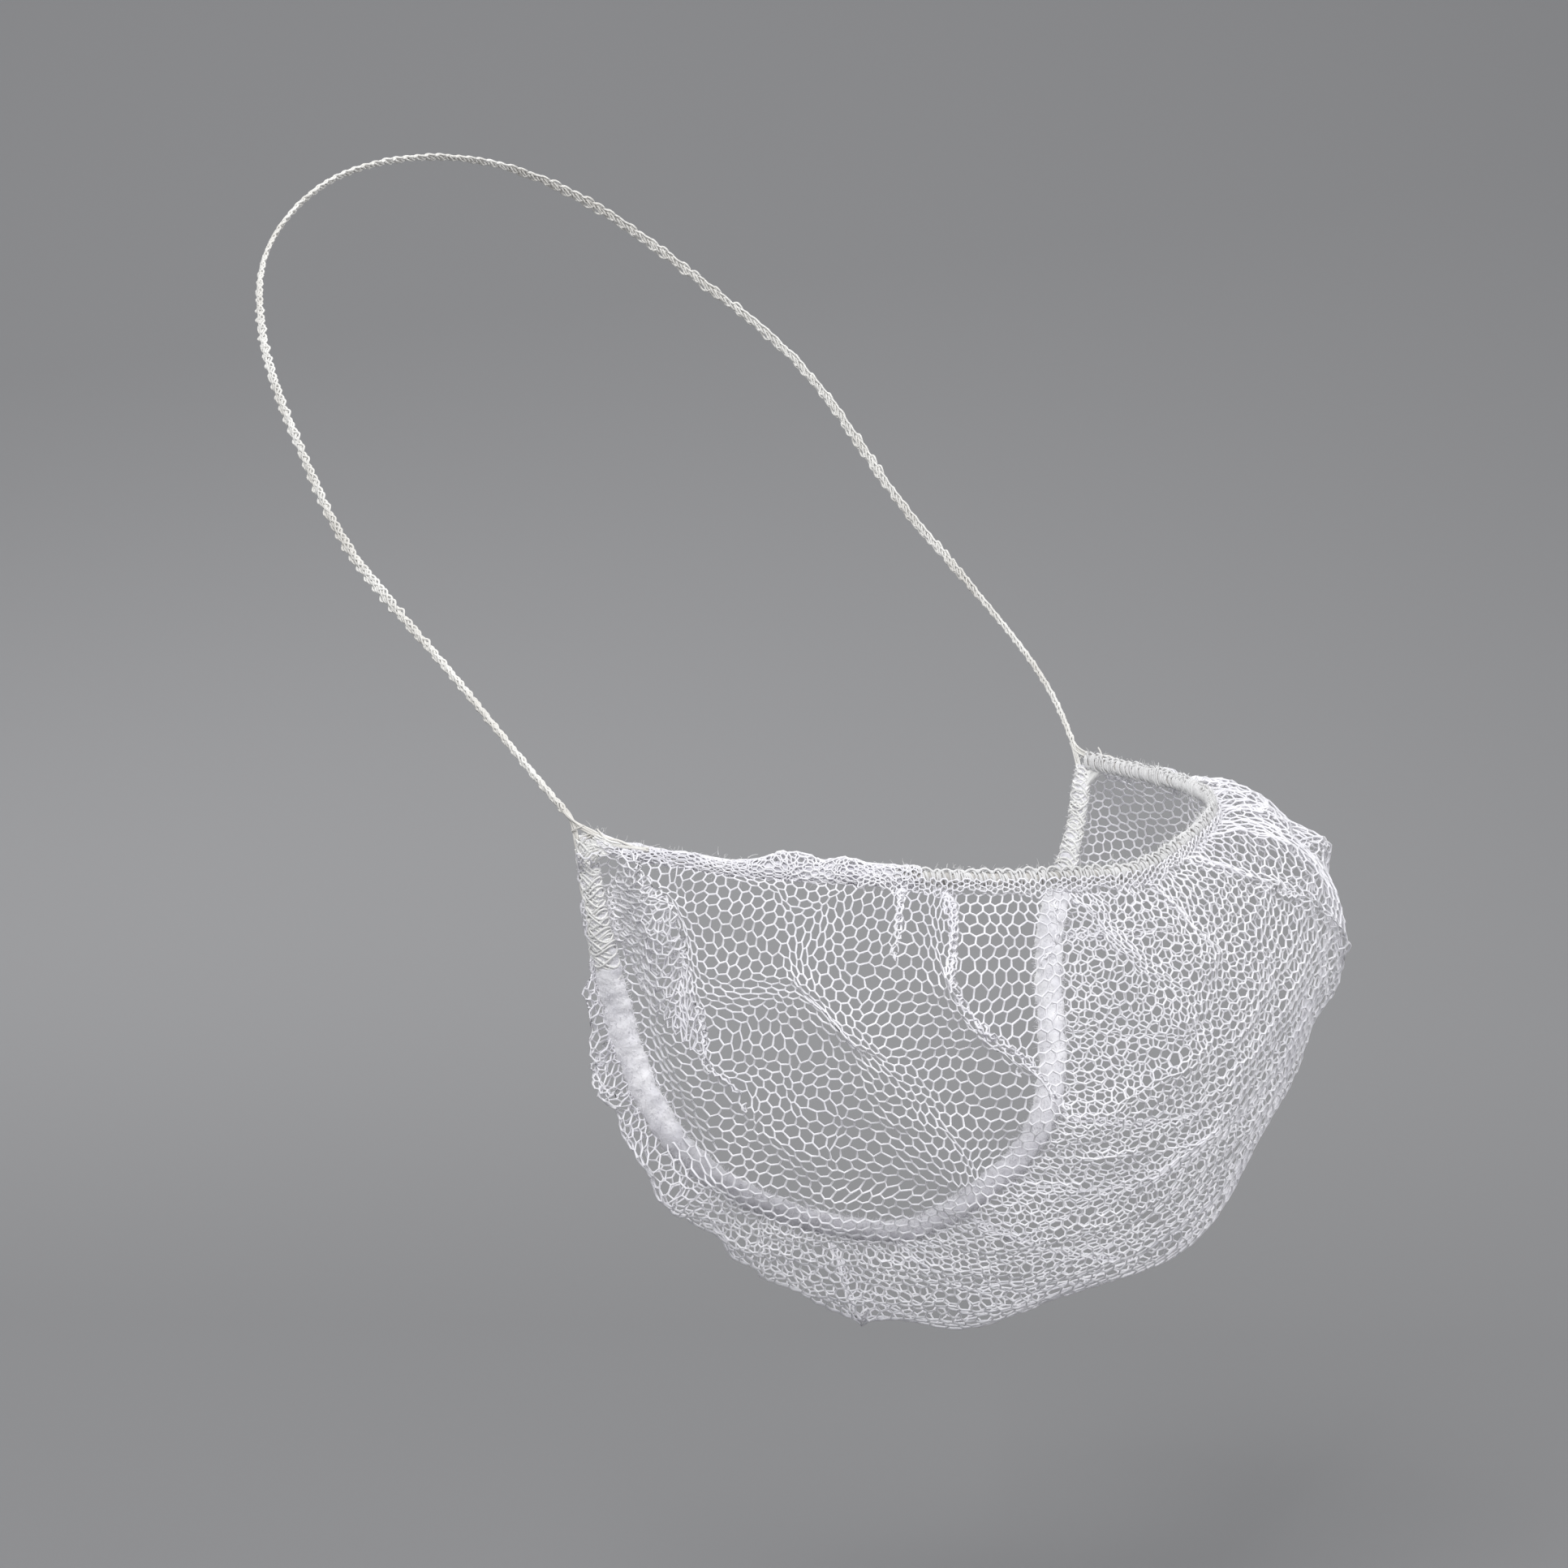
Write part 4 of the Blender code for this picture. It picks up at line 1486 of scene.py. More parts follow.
@dataclass
class TopHem:
    """The hem under the nose: an elastic core, overlocked on the left and ruffled on the right."""

    form: WornForm
    height: float = 0.0021
    thick: float = 0.0012
    padded_height: float = 0.0040
    padded_thick: float = 0.0021
    stitch: float = 0.0021
    yarn: float = 0.00022
    stray_yarn: float = 0.00008
    stray_ends: int = 26
    fibre: float = 0.00004
    fibres: int = 1600
    gathers: float = 0.0011
    opens: int = 6
    steps: int = 520
    overlock_from: float = 0.265
    slim: float = 0.58
    full: float = 0.85
    seed: int = 11

    def build(self) -> None:
        """Make the core, the padding, the overlock, the gathered net, the ruffle and the stray ends."""
        hem = Route(self.form.sewn_hem(self.steps, self.form.end_gap), UPWARD)
        core = self.roll(hem, self.height, self.thick, 14, 0.04, np.ones(len(hem.points)))
        placed("hem_core", mesh_of(core, "hem_core"), HEM_CORE, "top_hem")
        padded = slice(self.opens, int(self.steps * (self.overlock_from + 0.02)))
        part, full = Route(hem.points[padded], UPWARD), self.fullness(hem.run / hem.length)[padded]
        padding = self.roll(part, self.padded_height, self.padded_thick, 22, 0.13, full)
        # painted shade: the padding's grey stands in for the shade under the ruffle
        placed("hem_padding", mesh_of(padding, "hem_padding"), PADDING_PAINTED_SHADE)
        self.overlock(hem)
        self.gather(hem)
        self.ruffle(hem)
        self.strays(hem)
        self.fuzz(hem)

    def fullness(self, share: np.ndarray) -> np.ndarray:
        """How full the ruffled part is at each share of the hem's length: slim beside the right corner."""
        return self.slim + (self.full - self.slim) * eased((share - 0.12) / 0.08)

    def roll(self, part: Route, height: float, thick: float, sides: int, lumps: float,
             full: np.ndarray) -> bmesh.types.BMesh:
        """A lumpy roll along a part of the hem, narrower at its ends.

        Args:
            part: The middle of that part.
            height: The roll's height.
            thick: Its thickness.
            sides: How many sides it has.
            lumps: How big its lumps are, as a share of its size.
            full: How full it is at each point, as a share of its size.

        Returns:
            The roll's bmesh.
        """
        chance = np.random.default_rng(self.seed)
        turn = 2 * pi * np.arange(sides) / sides
        run = part.run[:, None]
        swell = 0.6 * np.sin(run / 0.0007 + 2 * np.sin(turn)) + 0.7 * np.sin(run / 0.0017 + 3 * np.cos(turn))
        swell = 1.0 + lumps * (0.6 * swell + 0.3 * chance.normal(size=swell.shape))
        swell *= (0.6 + 0.4 * eased(np.minimum(run, run[-1] - run) / 0.003)) * full[:, None]
        return sleeve(part.rings(turn, height / 2 * swell, thick / 2 * swell))

    def overlock(self, hem: Route) -> None:
        """Make the overlock: yarns wound round the core, and scallops along both edges.

        Args:
            hem: The middle of the hem.
        """
        first = hem.length * self.overlock_from
        count = int((hem.length - first) / self.stitch)
        at = np.linspace(first, hem.length, count * 22)
        phase = (at - first) / self.stitch * 2 * pi
        chance = np.random.default_rng(self.seed + 1)
        knots = np.linspace(first, hem.length, count)
        lean = np.interp(at, knots, chance.normal(0, 0.00035, count))
        tall = np.interp(at, knots, chance.uniform(0.6, 1.25, count))
        paths = []
        for late in (0.0, 0.7, 2.2, 3.0, 4.6):
            over = phase - late
            reach = 0.0012 + np.interp(at, knots, chance.normal(0, 0.00025, count))
            slip = np.interp(at, knots, chance.normal(0, 0.0003, count))
            paths.append(hem.off(at, -np.sin(over) * reach, np.cos(over) * 0.0008, lean + slip))
        for late, foot, reach, depth in ((0.0, 0.0008, 0.0011, 0.0003), (pi, 0.0006, 0.0009, -0.0003)):
            uneven = np.interp(at, knots, chance.uniform(0.4, 1.3, count))
            lifted = np.abs(np.sin((phase - late) / 2)) ** 0.45
            away = depth + 0.0002 * np.cos(phase)
            paths.append(hem.off(at, foot + reach * lifted * tall, away, lean))
            paths.append(hem.off(at, -foot - reach * lifted * uneven, away + 0.0002, lean))
        placed("hem_overlock", yarns("hem_overlock", paths, self.yarn), HEM_YARN)

    def gather(self, hem: Route) -> None:
        """Make the net that is gathered into the overlocked hem's lower half.

        Args:
            hem: The middle of the hem.
        """
        first = hem.length * (self.overlock_from - 0.02)
        length = hem.length - first
        bm = Honeycomb(self.gathers, Honeycomb.columns_for(length, self.gathers, 0), 2).build()
        along, up = self.shares_of(bm)
        at = first + along * length
        chance = np.random.default_rng(self.seed + 5)
        tall = 0.0024 + 0.0005 * np.sin(at / 0.0031) + 0.0004 * np.sin(at / 0.0013 + 1.0)
        away = 0.0013 + 0.0007 * (1 - up) + 0.0002 * np.sin(at / 0.0009)
        points = hem.off(at, 0.0001 - (1 - up) * tall, away)
        self.sew("hem_gather", bm, points + chance.normal(0, 0.0001, points.shape))

    def ruffle(self, hem: Route) -> None:
        """Make the ruffle: net gathered over the core until it is nearly closed.

        Args:
            hem: The middle of the hem.
        """
        first, last = hem.run[self.opens], (self.overlock_from + 0.03) * hem.length
        for layer in HEM_RUFFLES:
            bm = Honeycomb(layer.pitch, Honeycomb.columns_for(last, layer.pitch, 1), layer.rows).build()
            along, up = self.shares_of(bm)
            self.sew(layer.name, bm, self.wrapped(hem, first + along * (last - first), up, layer))

    @staticmethod
    def shares_of(bm: bmesh.types.BMesh) -> tuple[np.ndarray, np.ndarray]:
        """Where the corners of a flat strip lie, as shares of its size.

        Args:
            bm: The strip.

        Returns:
            Each corner's share along the strip and its share up it.
        """
        flat = corners_of(bm)
        along, up = ((flat - flat.min(axis=0)) / np.ptp(flat, axis=0)).T
        return along, up

    @staticmethod
    def sew(name: str, bm: bmesh.types.BMesh, points: np.ndarray) -> None:
        """Sew a strip of net to the hem.

        Args:
            name: The piece's name.
            bm: The strip, still flat.
            points: Where its corners are sewn.
        """
        move_corners(bm, points)
        bm.normal_update()
        thread_up(bm, LACE_THREAD)
        placed(name, mesh_of(bm, name), NET_YARN)

    def wrapped(self, hem: Route, at: np.ndarray, up: np.ndarray, layer: Ruffle) -> np.ndarray:
        """Points of a net strip wrapped over the core, crumpled, and bulging where the net stands up.

        Args:
            hem: The middle of the hem.
            at: The length along the hem of each point.
            up: The share round the core of each point.
            layer: The layer that the strip makes.

        Returns:
            The points.
        """
        grow, phase = layer.grow, layer.phase
        chance = np.random.default_rng(self.seed + int(10 * grow))
        along = at / hem.length
        bulge = sum(spot.height * swelling((along - spot.at) / spot.width) for spot in HEM_BULGES)
        crumple = 0.25 * np.sin(at / 0.0011 + phase) + 0.20 * np.sin(at / 0.0019 + 4.0 * up + 2 * phase)
        crumple += 0.25 * np.sin(at / 0.0033 - 7.0 * up + phase)
        turn = radians(-70) + up * radians(320) + 0.5 * crumple
        top = np.maximum(np.sin(turn), 0.0) ** 2
        full = self.fullness(along)
        lift = (0.00215 + chance.normal(0, 0.00006, len(at))) * grow * full + top * bulge
        depth = (0.00120 + 0.00025 * crumple + chance.normal(0, 0.00006, len(at))) * grow * (0.4 + 0.6 * full)
        slip = 0.0005 * np.sin(at / 0.0012 + 5.0 * up + phase)
        slip += 0.0006 * np.sin(at / 0.0027 - 6.0 * up + phase)
        return hem.off(at, np.sin(turn) * lift, np.cos(turn) * depth, slip)

    def strays(self, hem: Route) -> None:
        """Make the few yarn ends that stand up from the hem.

        Args:
            hem: The middle of the hem.
        """
        chance = np.random.default_rng(self.seed + 3)
        at = chance.uniform(0.1, 0.9, self.stray_ends) * hem.length
        ways = hem.read(hem.wide, at)
        ways = unit(ways + 0.5 * chance.normal(size=ways.shape))
        curls = 0.3 * chance.normal(size=ways.shape)
        longs = chance.uniform(0.0004, 0.0011, self.stray_ends)
        ends = short_fibres(hem.off(at, 0.0021, 0.0), ways, 1.5 * (ways + curls), longs)
        paths = [smooth_curve(end, 6) for end in ends]
        placed("hem_strays", yarns("hem_strays", paths, self.stray_yarn, tip=0.5), HEM_YARN)

    def fuzz(self, hem: Route) -> None:
        """Make the fine fibres that stand off the hem's yarns.

        Args:
            hem: The middle of the hem.
        """
        chance = np.random.default_rng(self.seed + 4)
        at = chance.uniform(0.0, hem.length, self.fibres)
        turn = chance.uniform(0.0, 2 * pi, self.fibres)
        up, away = np.sin(turn) * 0.0019, np.cos(turn) * 0.0009
        ways = unit(hem.aside(at, up, away))
        ways = unit(ways + 0.9 * chance.normal(size=ways.shape))
        curls = 0.5 * chance.normal(size=ways.shape)
        longs = chance.uniform(0.0003, 0.0007, self.fibres)
        paths = short_fibres(hem.off(at, up, away), ways, 1.7 * ways + curls, longs)
        placed("hem_fibres", yarns("hem_fibres", paths, self.fibre, tip=0.3), HEM_YARN)


@dataclass
class ChinBand:
    """The soft band round the jaw: a brushed roll with short fibres standing off it."""

    form: WornForm
    width: float = 0.0062
    thick: float = 0.0040
    narrow: float = 0.58
    steps: int = 640
    sides: int = 22
    fibre: float = 0.00005
    fibres: int = 7000
    scallop: float = 0.0022
    wound_from: float = 0.0005
    wound_to: float = 0.030
    edge_rows: int = 3
    edge_yarn: float = 0.00024
    seed: int = 23

    def build(self) -> None:
        """Make the roll, its fibres and its edge."""
        band = Route(self.form.band(self.steps, self.form.end_gap), FORWARD)
        self.roll(band)
        self.fuzz(band)
        self.scallops(band)

    def fullness(self, share: np.ndarray) -> np.ndarray:
        """How full the roll is: narrow beside the corners, thin in them.

        Args:
            share: Shares of the band's length.

        Returns:
            The share of the full size at each of them.
        """
        end = np.minimum(share, 1 - share)
        grown = self.narrow + (1 - self.narrow) * eased((end - 0.05) / 0.08)
        return grown * (0.75 + 0.25 * eased(end / 0.022))

    def roll(self, band: Route) -> None:
        """Make the roll.

        Args:
            band: The middle of the band.
        """
        turn = 2 * pi * np.arange(self.sides) / self.sides
        share = np.linspace(0, 1, len(band.points))[:, None]
        chance = np.random.default_rng(self.seed)
        swell = 1.0 + 0.05 * np.sin(share * 410 + 2 * np.sin(turn))
        swell = swell + 0.06 * np.sin(share * 151 + 3 * np.cos(turn))
        swell = (swell + 0.035 * chance.normal(size=swell.shape)) * self.fullness(share)
        rings = band.rings(turn, self.width / 2 * swell, self.thick / 2 * swell)
        placed("band_roll", mesh_of(sleeve(rings), "band_roll"), BAND_FUZZ_PAINTED_SHADE, "chin_band")

    def fuzz(self, band: Route) -> None:
        """Make the fibres.

        Args:
            band: The middle of the band.
        """
        chance = np.random.default_rng(self.seed + 1)
        at = chance.uniform(0, band.length, self.fibres)
        turn = chance.uniform(0, 2 * pi, self.fibres)
        full = self.fullness(at / band.length)
        roots = band.off(at, full * np.sin(turn) * self.width / 2, full * np.cos(turn) * self.thick / 2)
        ways = unit(band.aside(at, np.sin(turn) / self.width, np.cos(turn) / self.thick))
        ways = unit(ways + 0.7 * chance.normal(size=ways.shape))
        longs = chance.uniform(0.0005, 0.0012, self.fibres)
        bent = ways + 0.5 * chance.normal(size=ways.shape)
        paths = short_fibres(roots, ways, 0.5 * ways + 0.35 * bent, longs, sunk=0.0001, bend=0.5)
        placed("band_fibres", yarns("band_fibres", paths, self.fibre, tip=0.3), BAND_FUZZ_PAINTED_SHADE)

    def scallops(self, band: Route) -> None:
        """Make the knitting that is wound round the band below each corner, and its bumpy edge.

        Args:
            band: The middle of the band.
        """
        chance = np.random.default_rng(self.seed + 2)
        right = np.array([self.wound_from, self.wound_to])
        paths = []
        for begin, end in (right, band.length - right):
            at = np.linspace(begin, end, 400)
            run = np.abs(at - begin)
            full = self.fullness(at / band.length) * (1 - 0.25 * eased((run - 0.020) / 0.010))
            for late, sense, length in BAND_WINDINGS:
                uneven = 0.8 * np.sin(at / 0.0013 + 3 * late) + 0.5 * np.sin(at / 0.0029 + late)
                turn = sense * (2 * pi * run / (1.2 * self.scallop) + uneven) + late
                lift = 0.0001 + 0.00012 * np.sin(at / 0.0007 + 2 * late)
                up = np.sin(turn) * (full * self.width / 2 + lift)
                away = np.cos(turn) * (full * self.thick / 2 + lift)
                paths.append(band.off(at, up, away, 0.0007 * np.sin(2 * turn + 2.6 * late))[:length])
            at = np.linspace(begin, end, 220)
            half = self.fullness(at / band.length) * self.width / 2
            for row in range(self.edge_rows):
                phase = np.abs(at - begin) / self.scallop * pi + row * 1.1
                stray = 0.0002 * np.sin(at / 0.0016 + row) + chance.normal(0, 0.00003, len(at))
                lift = 0.0001 + 0.0006 * np.abs(np.sin(phase)) + stray - 0.0004 * row
                paths.append(band.off(at, -half - lift, 0.0002 + 0.0005 * row))
        placed("band_edge", yarns("band_edge", paths, self.edge_yarn), CORNER_YARN)


@dataclass
class HeadStrap:
    """The knitted elastic strap: core yarns that cross, with open loops along both edges."""

    form: WornForm
    yarn: float = 0.00024
    loop: float = 0.0028
    cross: float = 0.0036
    step: float = 0.00028
    seed: int = 31

    def build(self) -> None:
        """Make the strap."""
        path = self.form.strap(STRAP_STEPS, self.form.split)
        run = run_along(path)
        at = np.arange(0.0, run[-1], self.step)
        middle = read_along(path, run, at)
        ahead = unit(np.gradient(path, axis=0))
        side = read_along(unit(np.cross(ahead, self.off_head(path))), run, at)
        off = unit(np.cross(side, read_along(ahead, run, at)))
        stretch = self.slackness(at / run[-1])
        paths = []
        for turn in (0.0, 2 * pi / 3, 4 * pi / 3):
            phase = (2 * pi * (at / self.cross + 0.25 * np.sin(at / 0.0071)) + turn)[:, None]
            paths.append(middle + side * 0.00038 * np.sin(phase) + off * 0.0003 * np.cos(phase))
        for edge in (-1.0, 1.0):
            paths.append(middle + self.looped(at, side * edge, off, stretch, edge))
        paths.append(middle + self.looped(at + self.loop / 2, side, off, stretch * 0.7, 2.0))
        paths.append(middle + self.looped(at + self.loop / 2, -side, off, stretch * 0.7, 3.0))
        right, left = StrapCorner(self.form, True), StrapCorner(self.form, False)
        for row, path in enumerate(paths):
            ends = right.strand(path[:30:14], row)[::-1], left.strand(path[:-30:-14], row)
            paths[row] = np.concatenate([ends[0], path[4:-4], ends[1]])
        mesh = yarns("strap_yarns", paths, self.yarn)
        placed("strap_yarns", mesh, STRAP_YARN, "head_strap")

    @staticmethod
    def off_head(path: np.ndarray) -> np.ndarray:
        """The way off the head at each point of the strap."""
        middle = np.array([0.0, -0.09, -0.09])
        return unit(path - middle)

    @staticmethod
    def slackness(share: np.ndarray) -> np.ndarray:
        """How open the strap's loops are along it: drawn narrow at the corners and on the crown."""
        from_end = np.minimum(share, 1 - share)
        return 0.35 + 0.65 * eased((from_end - 0.06) / 0.10) * (1 - 0.6 * eased((from_end - 0.38) / 0.10))

    def looped(self, at: np.ndarray, side: np.ndarray, off: np.ndarray, open_by: np.ndarray,
               key: float) -> np.ndarray:
        """The yarn of one edge, bowed out in loops.

        Args:
            at: The length run at each point.
            side: The way to the edge.
            off: The way off the head.
            open_by: How open the loops are.
            key: Seeds the loops' unevenness.

        Returns:
            How far the yarn lies from the strap's middle.
        """
        chance = np.random.default_rng(self.seed + int(10 * (key + 1)))
        count = int(at[-1] / self.loop) + 3
        sizes = chance.uniform(0.55, 1.25, count)
        turn = at / self.loop
        size = sizes[np.clip(turn.astype(int), 0, count - 1)]
        bow = np.abs(np.sin(pi * turn)) ** 0.8 * size
        reach = 0.0002 + 0.00095 * bow * open_by
        return side * reach[:, None] + off * (0.00028 * np.sin(2 * pi * turn + key))[:, None]


@dataclass
class StrapCorner:
    """A corner where the strap splits in a V into hem and band, filled with dense knitting."""

    form: WornForm
    right: bool
    thick: float = 0.0009
    begins: float = 0.0034
    reach: float = 0.0085
    hem_half: float = 0.0014
    band_half: float = -0.0020
    run_in: float = 0.002
    tail_stops: tuple[float, ...] = (0.0022, 0.0050, 0.0080, 0.0110, 0.0140)
    steps: int = 300
    fan: int = 11
    ties: int = 6
    yarn: float = 0.00021
    seed: int = 43

    @property
    def name(self) -> str:
        """Which side the corner is on."""
        return "right" if self.right else "left"

    def outwards(self) -> np.ndarray:
        """The way off the face at the corner."""
        return np.array([-1.0 if self.right else 1.0, 0.0, 0.0])

    def edge(self, upper: bool, away: np.ndarray, inwards: np.ndarray, off: float) -> np.ndarray:
        """Points along the hem's top edge or the band's back edge.

        Args:
            upper: Whether the hem's edge is meant.
            away: How far along the edge each point lies from the corner.
            inwards: How far each point lies in from the edge.
            off: How far the points lie off the face.

        Returns:
            The points.
        """
        if upper:
            route, half = Route(self.form.sewn_hem(self.steps, 0.0), UPWARD), self.hem_half
        else:
            route, half = Route(self.form.band(self.steps, 0.0), FORWARD), self.band_half
        at = away if self.right else route.length - away
        return route.off(at, half * (1 - inwards / self.run_in), 0.0) + self.outwards() * off

    def strand(self, tail: np.ndarray, row: int) -> np.ndarray:
        """The end of a strap yarn, which runs on into the hem or down the band.

        Args:
            tail: The yarn's last points on the strap, the very last one first.
            row: Which of the strap's yarns it is.

        Returns:
            Its points from the strap on.
        """
        upper = row % 2 == 0
        chance = np.random.default_rng(self.seed + row)
        away = np.array(self.tail_stops) + chance.uniform(-0.0006, 0.0006)
        inwards = chance.uniform(0.0, 0.0012) + 0.0003 * chance.normal(size=5)
        ahead = self.edge(upper, away, inwards, 0.0006 + 0.0003 * chance.uniform())
        points = smooth_curve(np.concatenate([tail[::-1], ahead]), 60)
        run = run_along(points)
        return points[run > np.linalg.norm(tail[0] - tail[-1]) - 0.0008]

    def build(self) -> None:
        """Make the web, its knitting and the rungs between the strap's two halves."""
        rows = np.linspace(0.0, 1.0, 16)
        upper, lower = self.borders(rows, 0.0006)
        bm = bmesh.new()
        bmesh.ops.create_grid(bm, x_segments=15, y_segments=10, size=0.5)
        self.span(bm, upper, lower, rows)
        bmesh.ops.recalc_face_normals(bm, faces=bm.faces)
        name = "corner_web_" + self.name
        piece = placed(name, mesh_of(bm, name), CORNER_YARN, "strap_fan_" + self.name)
        wall = piece.modifiers.new("wall", "SOLIDIFY")
        wall.thickness = self.thick
        wall.offset = 0.0
        self.knitting(upper, lower, rows)
        self.rungs()

    def borders(self, rows: np.ndarray, off: float) -> tuple[np.ndarray, np.ndarray]:
        """The web's upper and lower borders, from the strap's end on.

        Args:
            rows: The shares at which points are wanted.
            off: How far the borders lie off the face.

        Returns:
            The points of the upper border and of the lower one.
        """
        away = np.array([self.begins, (self.begins + self.reach) / 2, self.reach])
        lines = [smooth_curve(self.edge(upper, away, np.zeros(3), off), 40) for upper in (True, False)]
        upper, lower = (read_along(line, shares_along(line), rows) for line in lines)
        return upper, lower

    def span(self, bm: bmesh.types.BMesh, upper: np.ndarray, lower: np.ndarray, rows: np.ndarray) -> None:
        """Stretch a flat unit square between the borders.

        Args:
            bm: The square, centred on the origin.
            upper: The upper border.
            lower: The lower border.
            rows: The border points' shares.
        """
        chance = np.random.default_rng(self.seed + 20)
        flat = np.clip(corners_of(bm) + 0.5, 0.0, 1.0)
        mix = flat[:, 1][:, None]
        points = read_along(upper, rows, flat[:, 0]) * (1 - mix) + read_along(lower, rows, flat[:, 0]) * mix
        bulge = 0.0002 * np.sin(pi * flat[:, 1]) + 0.00006 * chance.normal(size=len(flat))
        move_corners(bm, points + self.outwards() * bulge[:, None])

    def knitting(self, upper: np.ndarray, lower: np.ndarray, rows: np.ndarray) -> None:
        """Lay yarns over the web, fanned out from the strap into hem and band and tied across.

        Args:
            upper: The web's upper border.
            lower: Its lower border.
            rows: The border points' shares.
        """
        paths = []
        for share in np.linspace(0.0, 1.0, self.fan):
            mix = np.clip(share + 0.05 * np.sin(pi * share) * np.sin(9 * rows + 20 * share), 0, 1)[:, None]
            off = 0.00045 + 0.0002 * sin(pi * share) + 0.0001 * np.sin(12 * rows + 9 * share)
            paths.append(smooth_curve(upper * (1 - mix) + lower * mix + self.outwards() * off[:, None], 40))
        for row in np.linspace(0.30, 1.0, self.ties):
            ends = read_along(upper, rows, np.array([row]))[0], read_along(lower, rows, np.array([row]))[0]
            share = np.linspace(0.0, 1.0, 9)[:, None]
            bow = (upper[-1] + lower[-1] - upper[0] - lower[0]) * (0.04 * np.sin(3 * pi * share))
            bow = bow + self.outwards() * 0.0007 * np.sin(pi * share)
            paths.append(smooth_curve(ends[0] * (1 - share) + ends[1] * share + bow, 40))
        name = "corner_knitting_" + self.name
        placed(name, yarns(name, paths, self.yarn), CORNER_YARN)

    def rungs(self) -> None:
        """Make the rungs across the V and the stray end of a yarn."""
        strap = self.form.strap(STRAP_STEPS, 0.0)
        strap = strap if self.right else strap[::-1]
        seat = read_along(strap, run_along(strap), np.array([self.form.split]))[0] + self.outwards() * 0.0004
        none = np.zeros(1)
        paths = []
        for share in (0.72, 1.0, 1.25):
            away = np.array([0.0022 * share])
            top = seat + (self.edge(True, away, none, 0.0008)[0] - seat) * min(share, 1.0)
            low = seat + (self.edge(False, away, none, 0.0008)[0] - seat) * min(share * 0.94, 1.0)
            paths.append(smooth_curve([top, (top + low) / 2 + self.outwards() * 0.0003, low], 8))
        start = self.edge(True, np.array([0.0050]), none, 0.0010)[0]
        middle = start + (self.outwards() * 0.3 + UPWARD * 1.0 + FORWARD * -0.7) * 0.0012
        tip = start + (self.outwards() * 0.5 + UPWARD * 1.9 + FORWARD * -1.5) * 0.0010
        paths.append(smooth_curve([start, middle, tip], 8))
        name = "corner_rungs_" + self.name
        placed(name, yarns(name, paths, self.yarn, tip=0.8), STRAP_YARN)


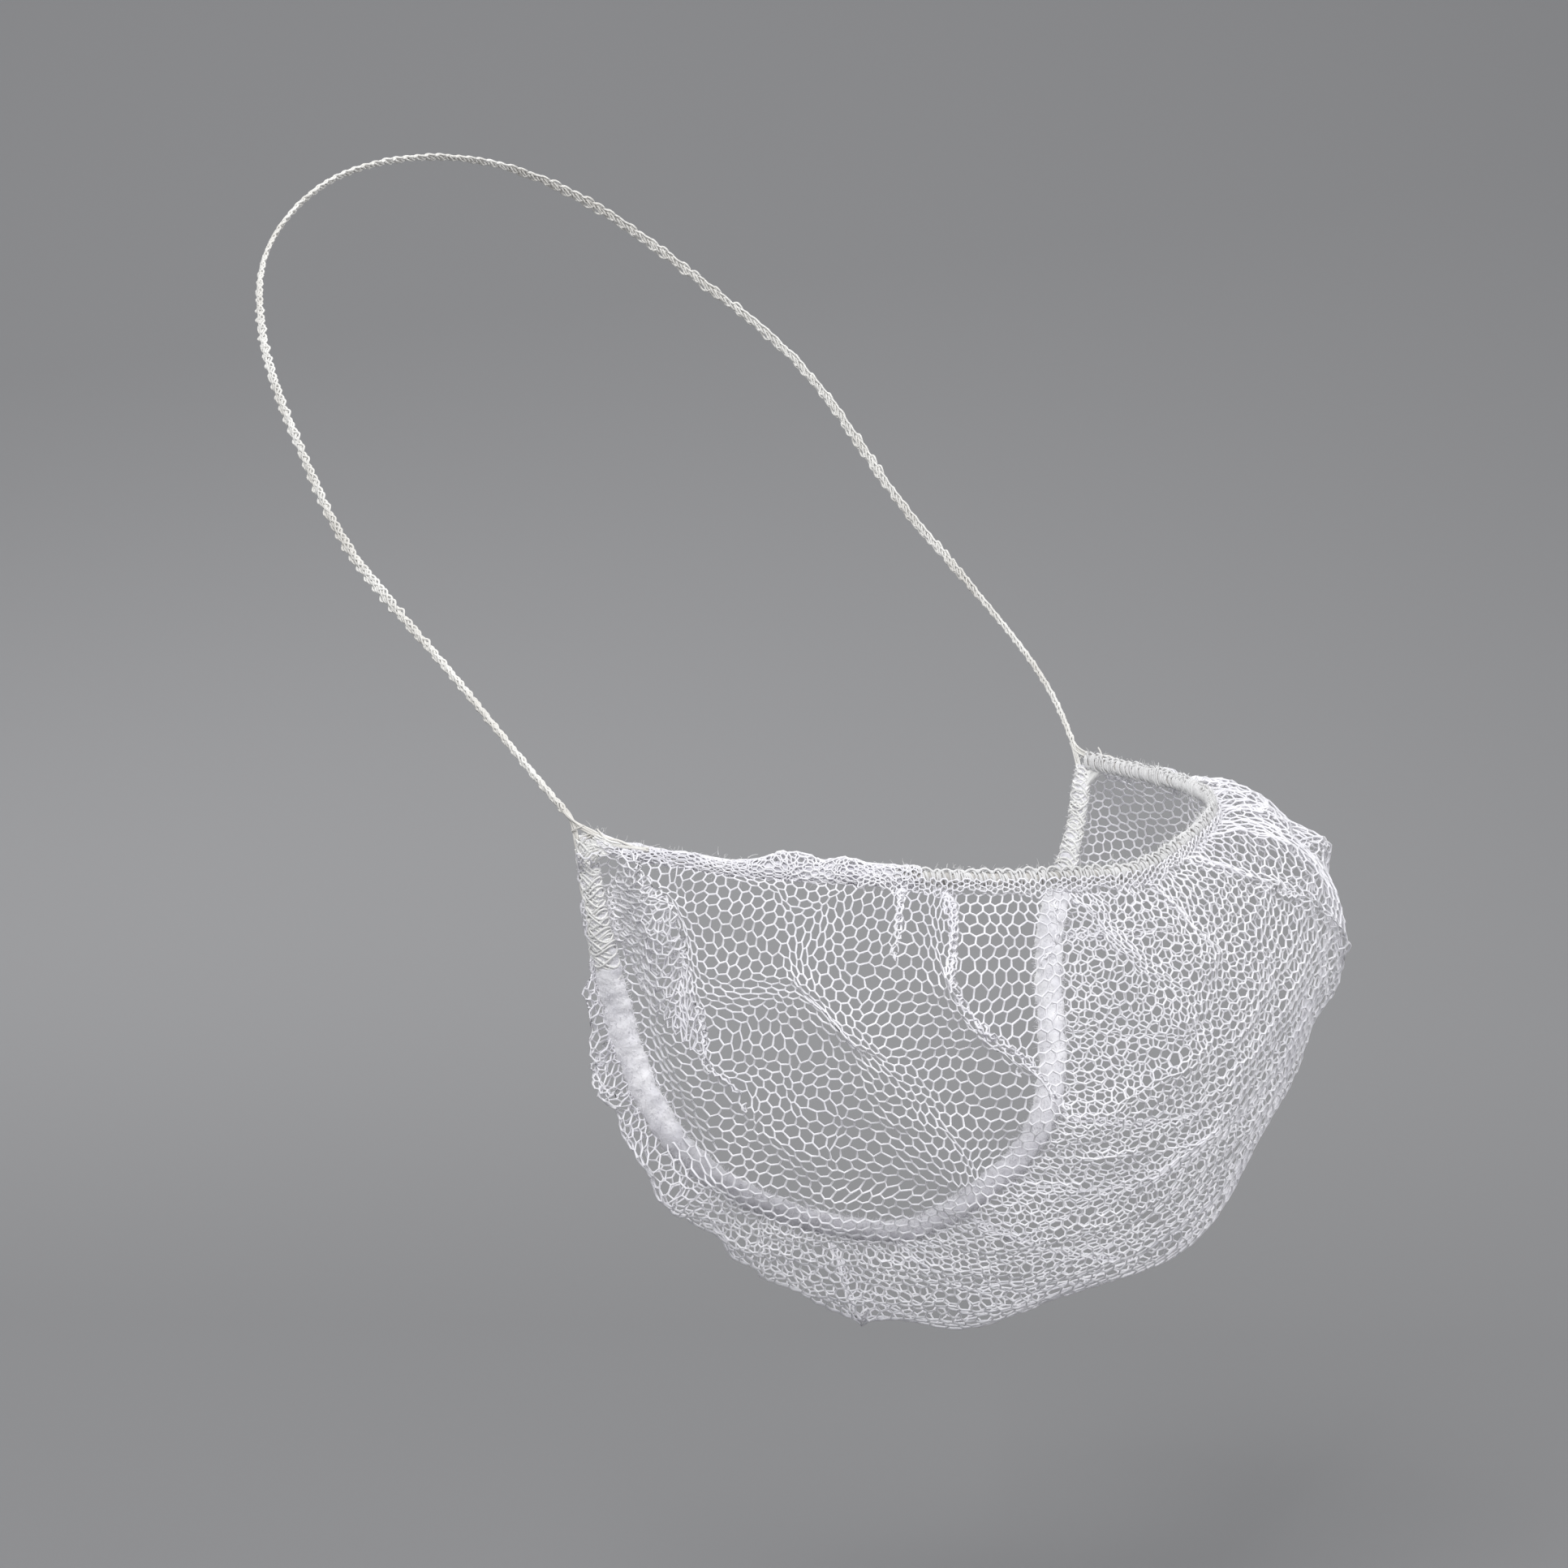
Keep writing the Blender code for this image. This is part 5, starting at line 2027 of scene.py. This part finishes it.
@dataclass
class Studio:
    """A pale floor with a swept back, soft light and the camera."""

    azimuth: float = -44.0
    elevation: float = 7.0
    distance: float = 0.90
    lens: float = 106.7
    aim: tuple[float, float, float] = (0.0, -0.0835, -0.104)
    shift: tuple[float, float] = (0.0393, -0.0538)
    sensor: float = 36.0
    floor: float = -0.30
    half_width: float = 6.0
    begins: float = -4.0
    sweep_from: float = 0.7
    sweep: float = 2.2
    wall: float = 5.0
    paper: tuple[float, float, float, float] = (0.22, 0.22, 0.225, 1.0)
    surround: tuple[float, float, float, float] = (0.95, 0.97, 1.0, 1.0)
    surround_strength: float = 0.55

    def build(self) -> None:
        """Make floor, lights, world and camera."""
        bpy.context.scene.view_settings.view_transform = "Standard"
        self.backdrop()
        self.world()
        for lamp in LAMPS:
            self.light(lamp)
        self.camera()

    def backdrop(self) -> None:
        """Make the floor, swept up at the back into a wall."""
        bm = bmesh.new()
        swept = [(self.sweep_from + self.sweep * sin(angle), self.sweep * (1 - cos(angle)))
                 for angle in np.linspace(0.0, pi / 2, 25)]
        line = [(self.begins, 0.0), *swept, (self.sweep_from + self.sweep, self.wall)]
        profile = [bm.verts.new((-self.half_width, back, self.floor + height)) for back, height in line]
        rim = [bm.edges.new(pair) for pair in zip(profile, profile[1:])]
        swept = bmesh.ops.extrude_edge_only(bm, edges=rim)["geom"]
        corners = [item for item in swept if isinstance(item, bmesh.types.BMVert)]
        bmesh.ops.translate(bm, verts=corners, vec=(2 * self.half_width, 0.0, 0.0))
        bmesh.ops.rotate(bm, verts=bm.verts, matrix=Matrix.Rotation(radians(self.azimuth), 3, "Z"))
        mesh = mesh_of(bm, "studio_floor")
        paper = bpy.data.materials.new("studio paper")
        paper.use_nodes = True
        shader = paper.node_tree.nodes["Principled BSDF"]
        wire(paper.node_tree, shader, {"Base Color": self.paper, "Roughness": 0.9})
        mesh.materials.append(paper)
        floor = bpy.data.objects.new("studio_floor", mesh)
        bpy.context.scene.collection.objects.link(floor)

    def world(self) -> None:
        """Give the scene an even, pale surround."""
        world = bpy.data.worlds.new("studio")
        world.use_nodes = True
        tree = world.node_tree
        wire(tree, tree.nodes["Background"], {"Color": self.surround, "Strength": self.surround_strength})
        bpy.context.scene.world = world

    @staticmethod
    def light(lamp: Lamp) -> None:
        """Add a soft light.

        Args:
            lamp: Its place, size, power and aim.
        """
        area = bpy.data.lights.new(lamp.name, "AREA")
        area.shape = "SQUARE"
        area.size = lamp.size
        area.energy = lamp.power
        stand = bpy.data.objects.new(lamp.name, area)
        stand.location = lamp.place
        stand.rotation_euler = (Vector(lamp.aim) - Vector(lamp.place)).to_track_quat("-Z", "Y").to_euler()
        bpy.context.scene.collection.objects.link(stand)

    def camera(self) -> None:
        """Stand the camera at the photograph's angle."""
        turn, rise = radians(self.azimuth), radians(self.elevation)
        back = Vector((sin(turn) * cos(rise), -cos(turn) * cos(rise), sin(rise)))
        lens = bpy.data.cameras.new("camera")
        lens.lens = self.lens
        lens.sensor_width = self.sensor
        lens.shift_x, lens.shift_y = self.shift
        stand = bpy.data.objects.new("camera", lens)
        stand.location = Vector(self.aim) + back * self.distance
        stand.rotation_euler = back.to_track_quat("Z", "Y").to_euler()
        bpy.context.scene.collection.objects.link(stand)
        bpy.context.scene.camera = stand


def main() -> None:
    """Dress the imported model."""
    logging.basicConfig(level=logging.INFO, format="%(relativeCreated)6d ms  %(message)s")
    form = WornForm()
    Studio().build()
    TopHem(form).build()
    ChinBand(form).build()
    NetPouch(form).build()
    HeadStrap(form).build()
    StrapCorner(form, right=True).build()
    StrapCorner(form, right=False).build()


if __name__ == "__main__":
    main()
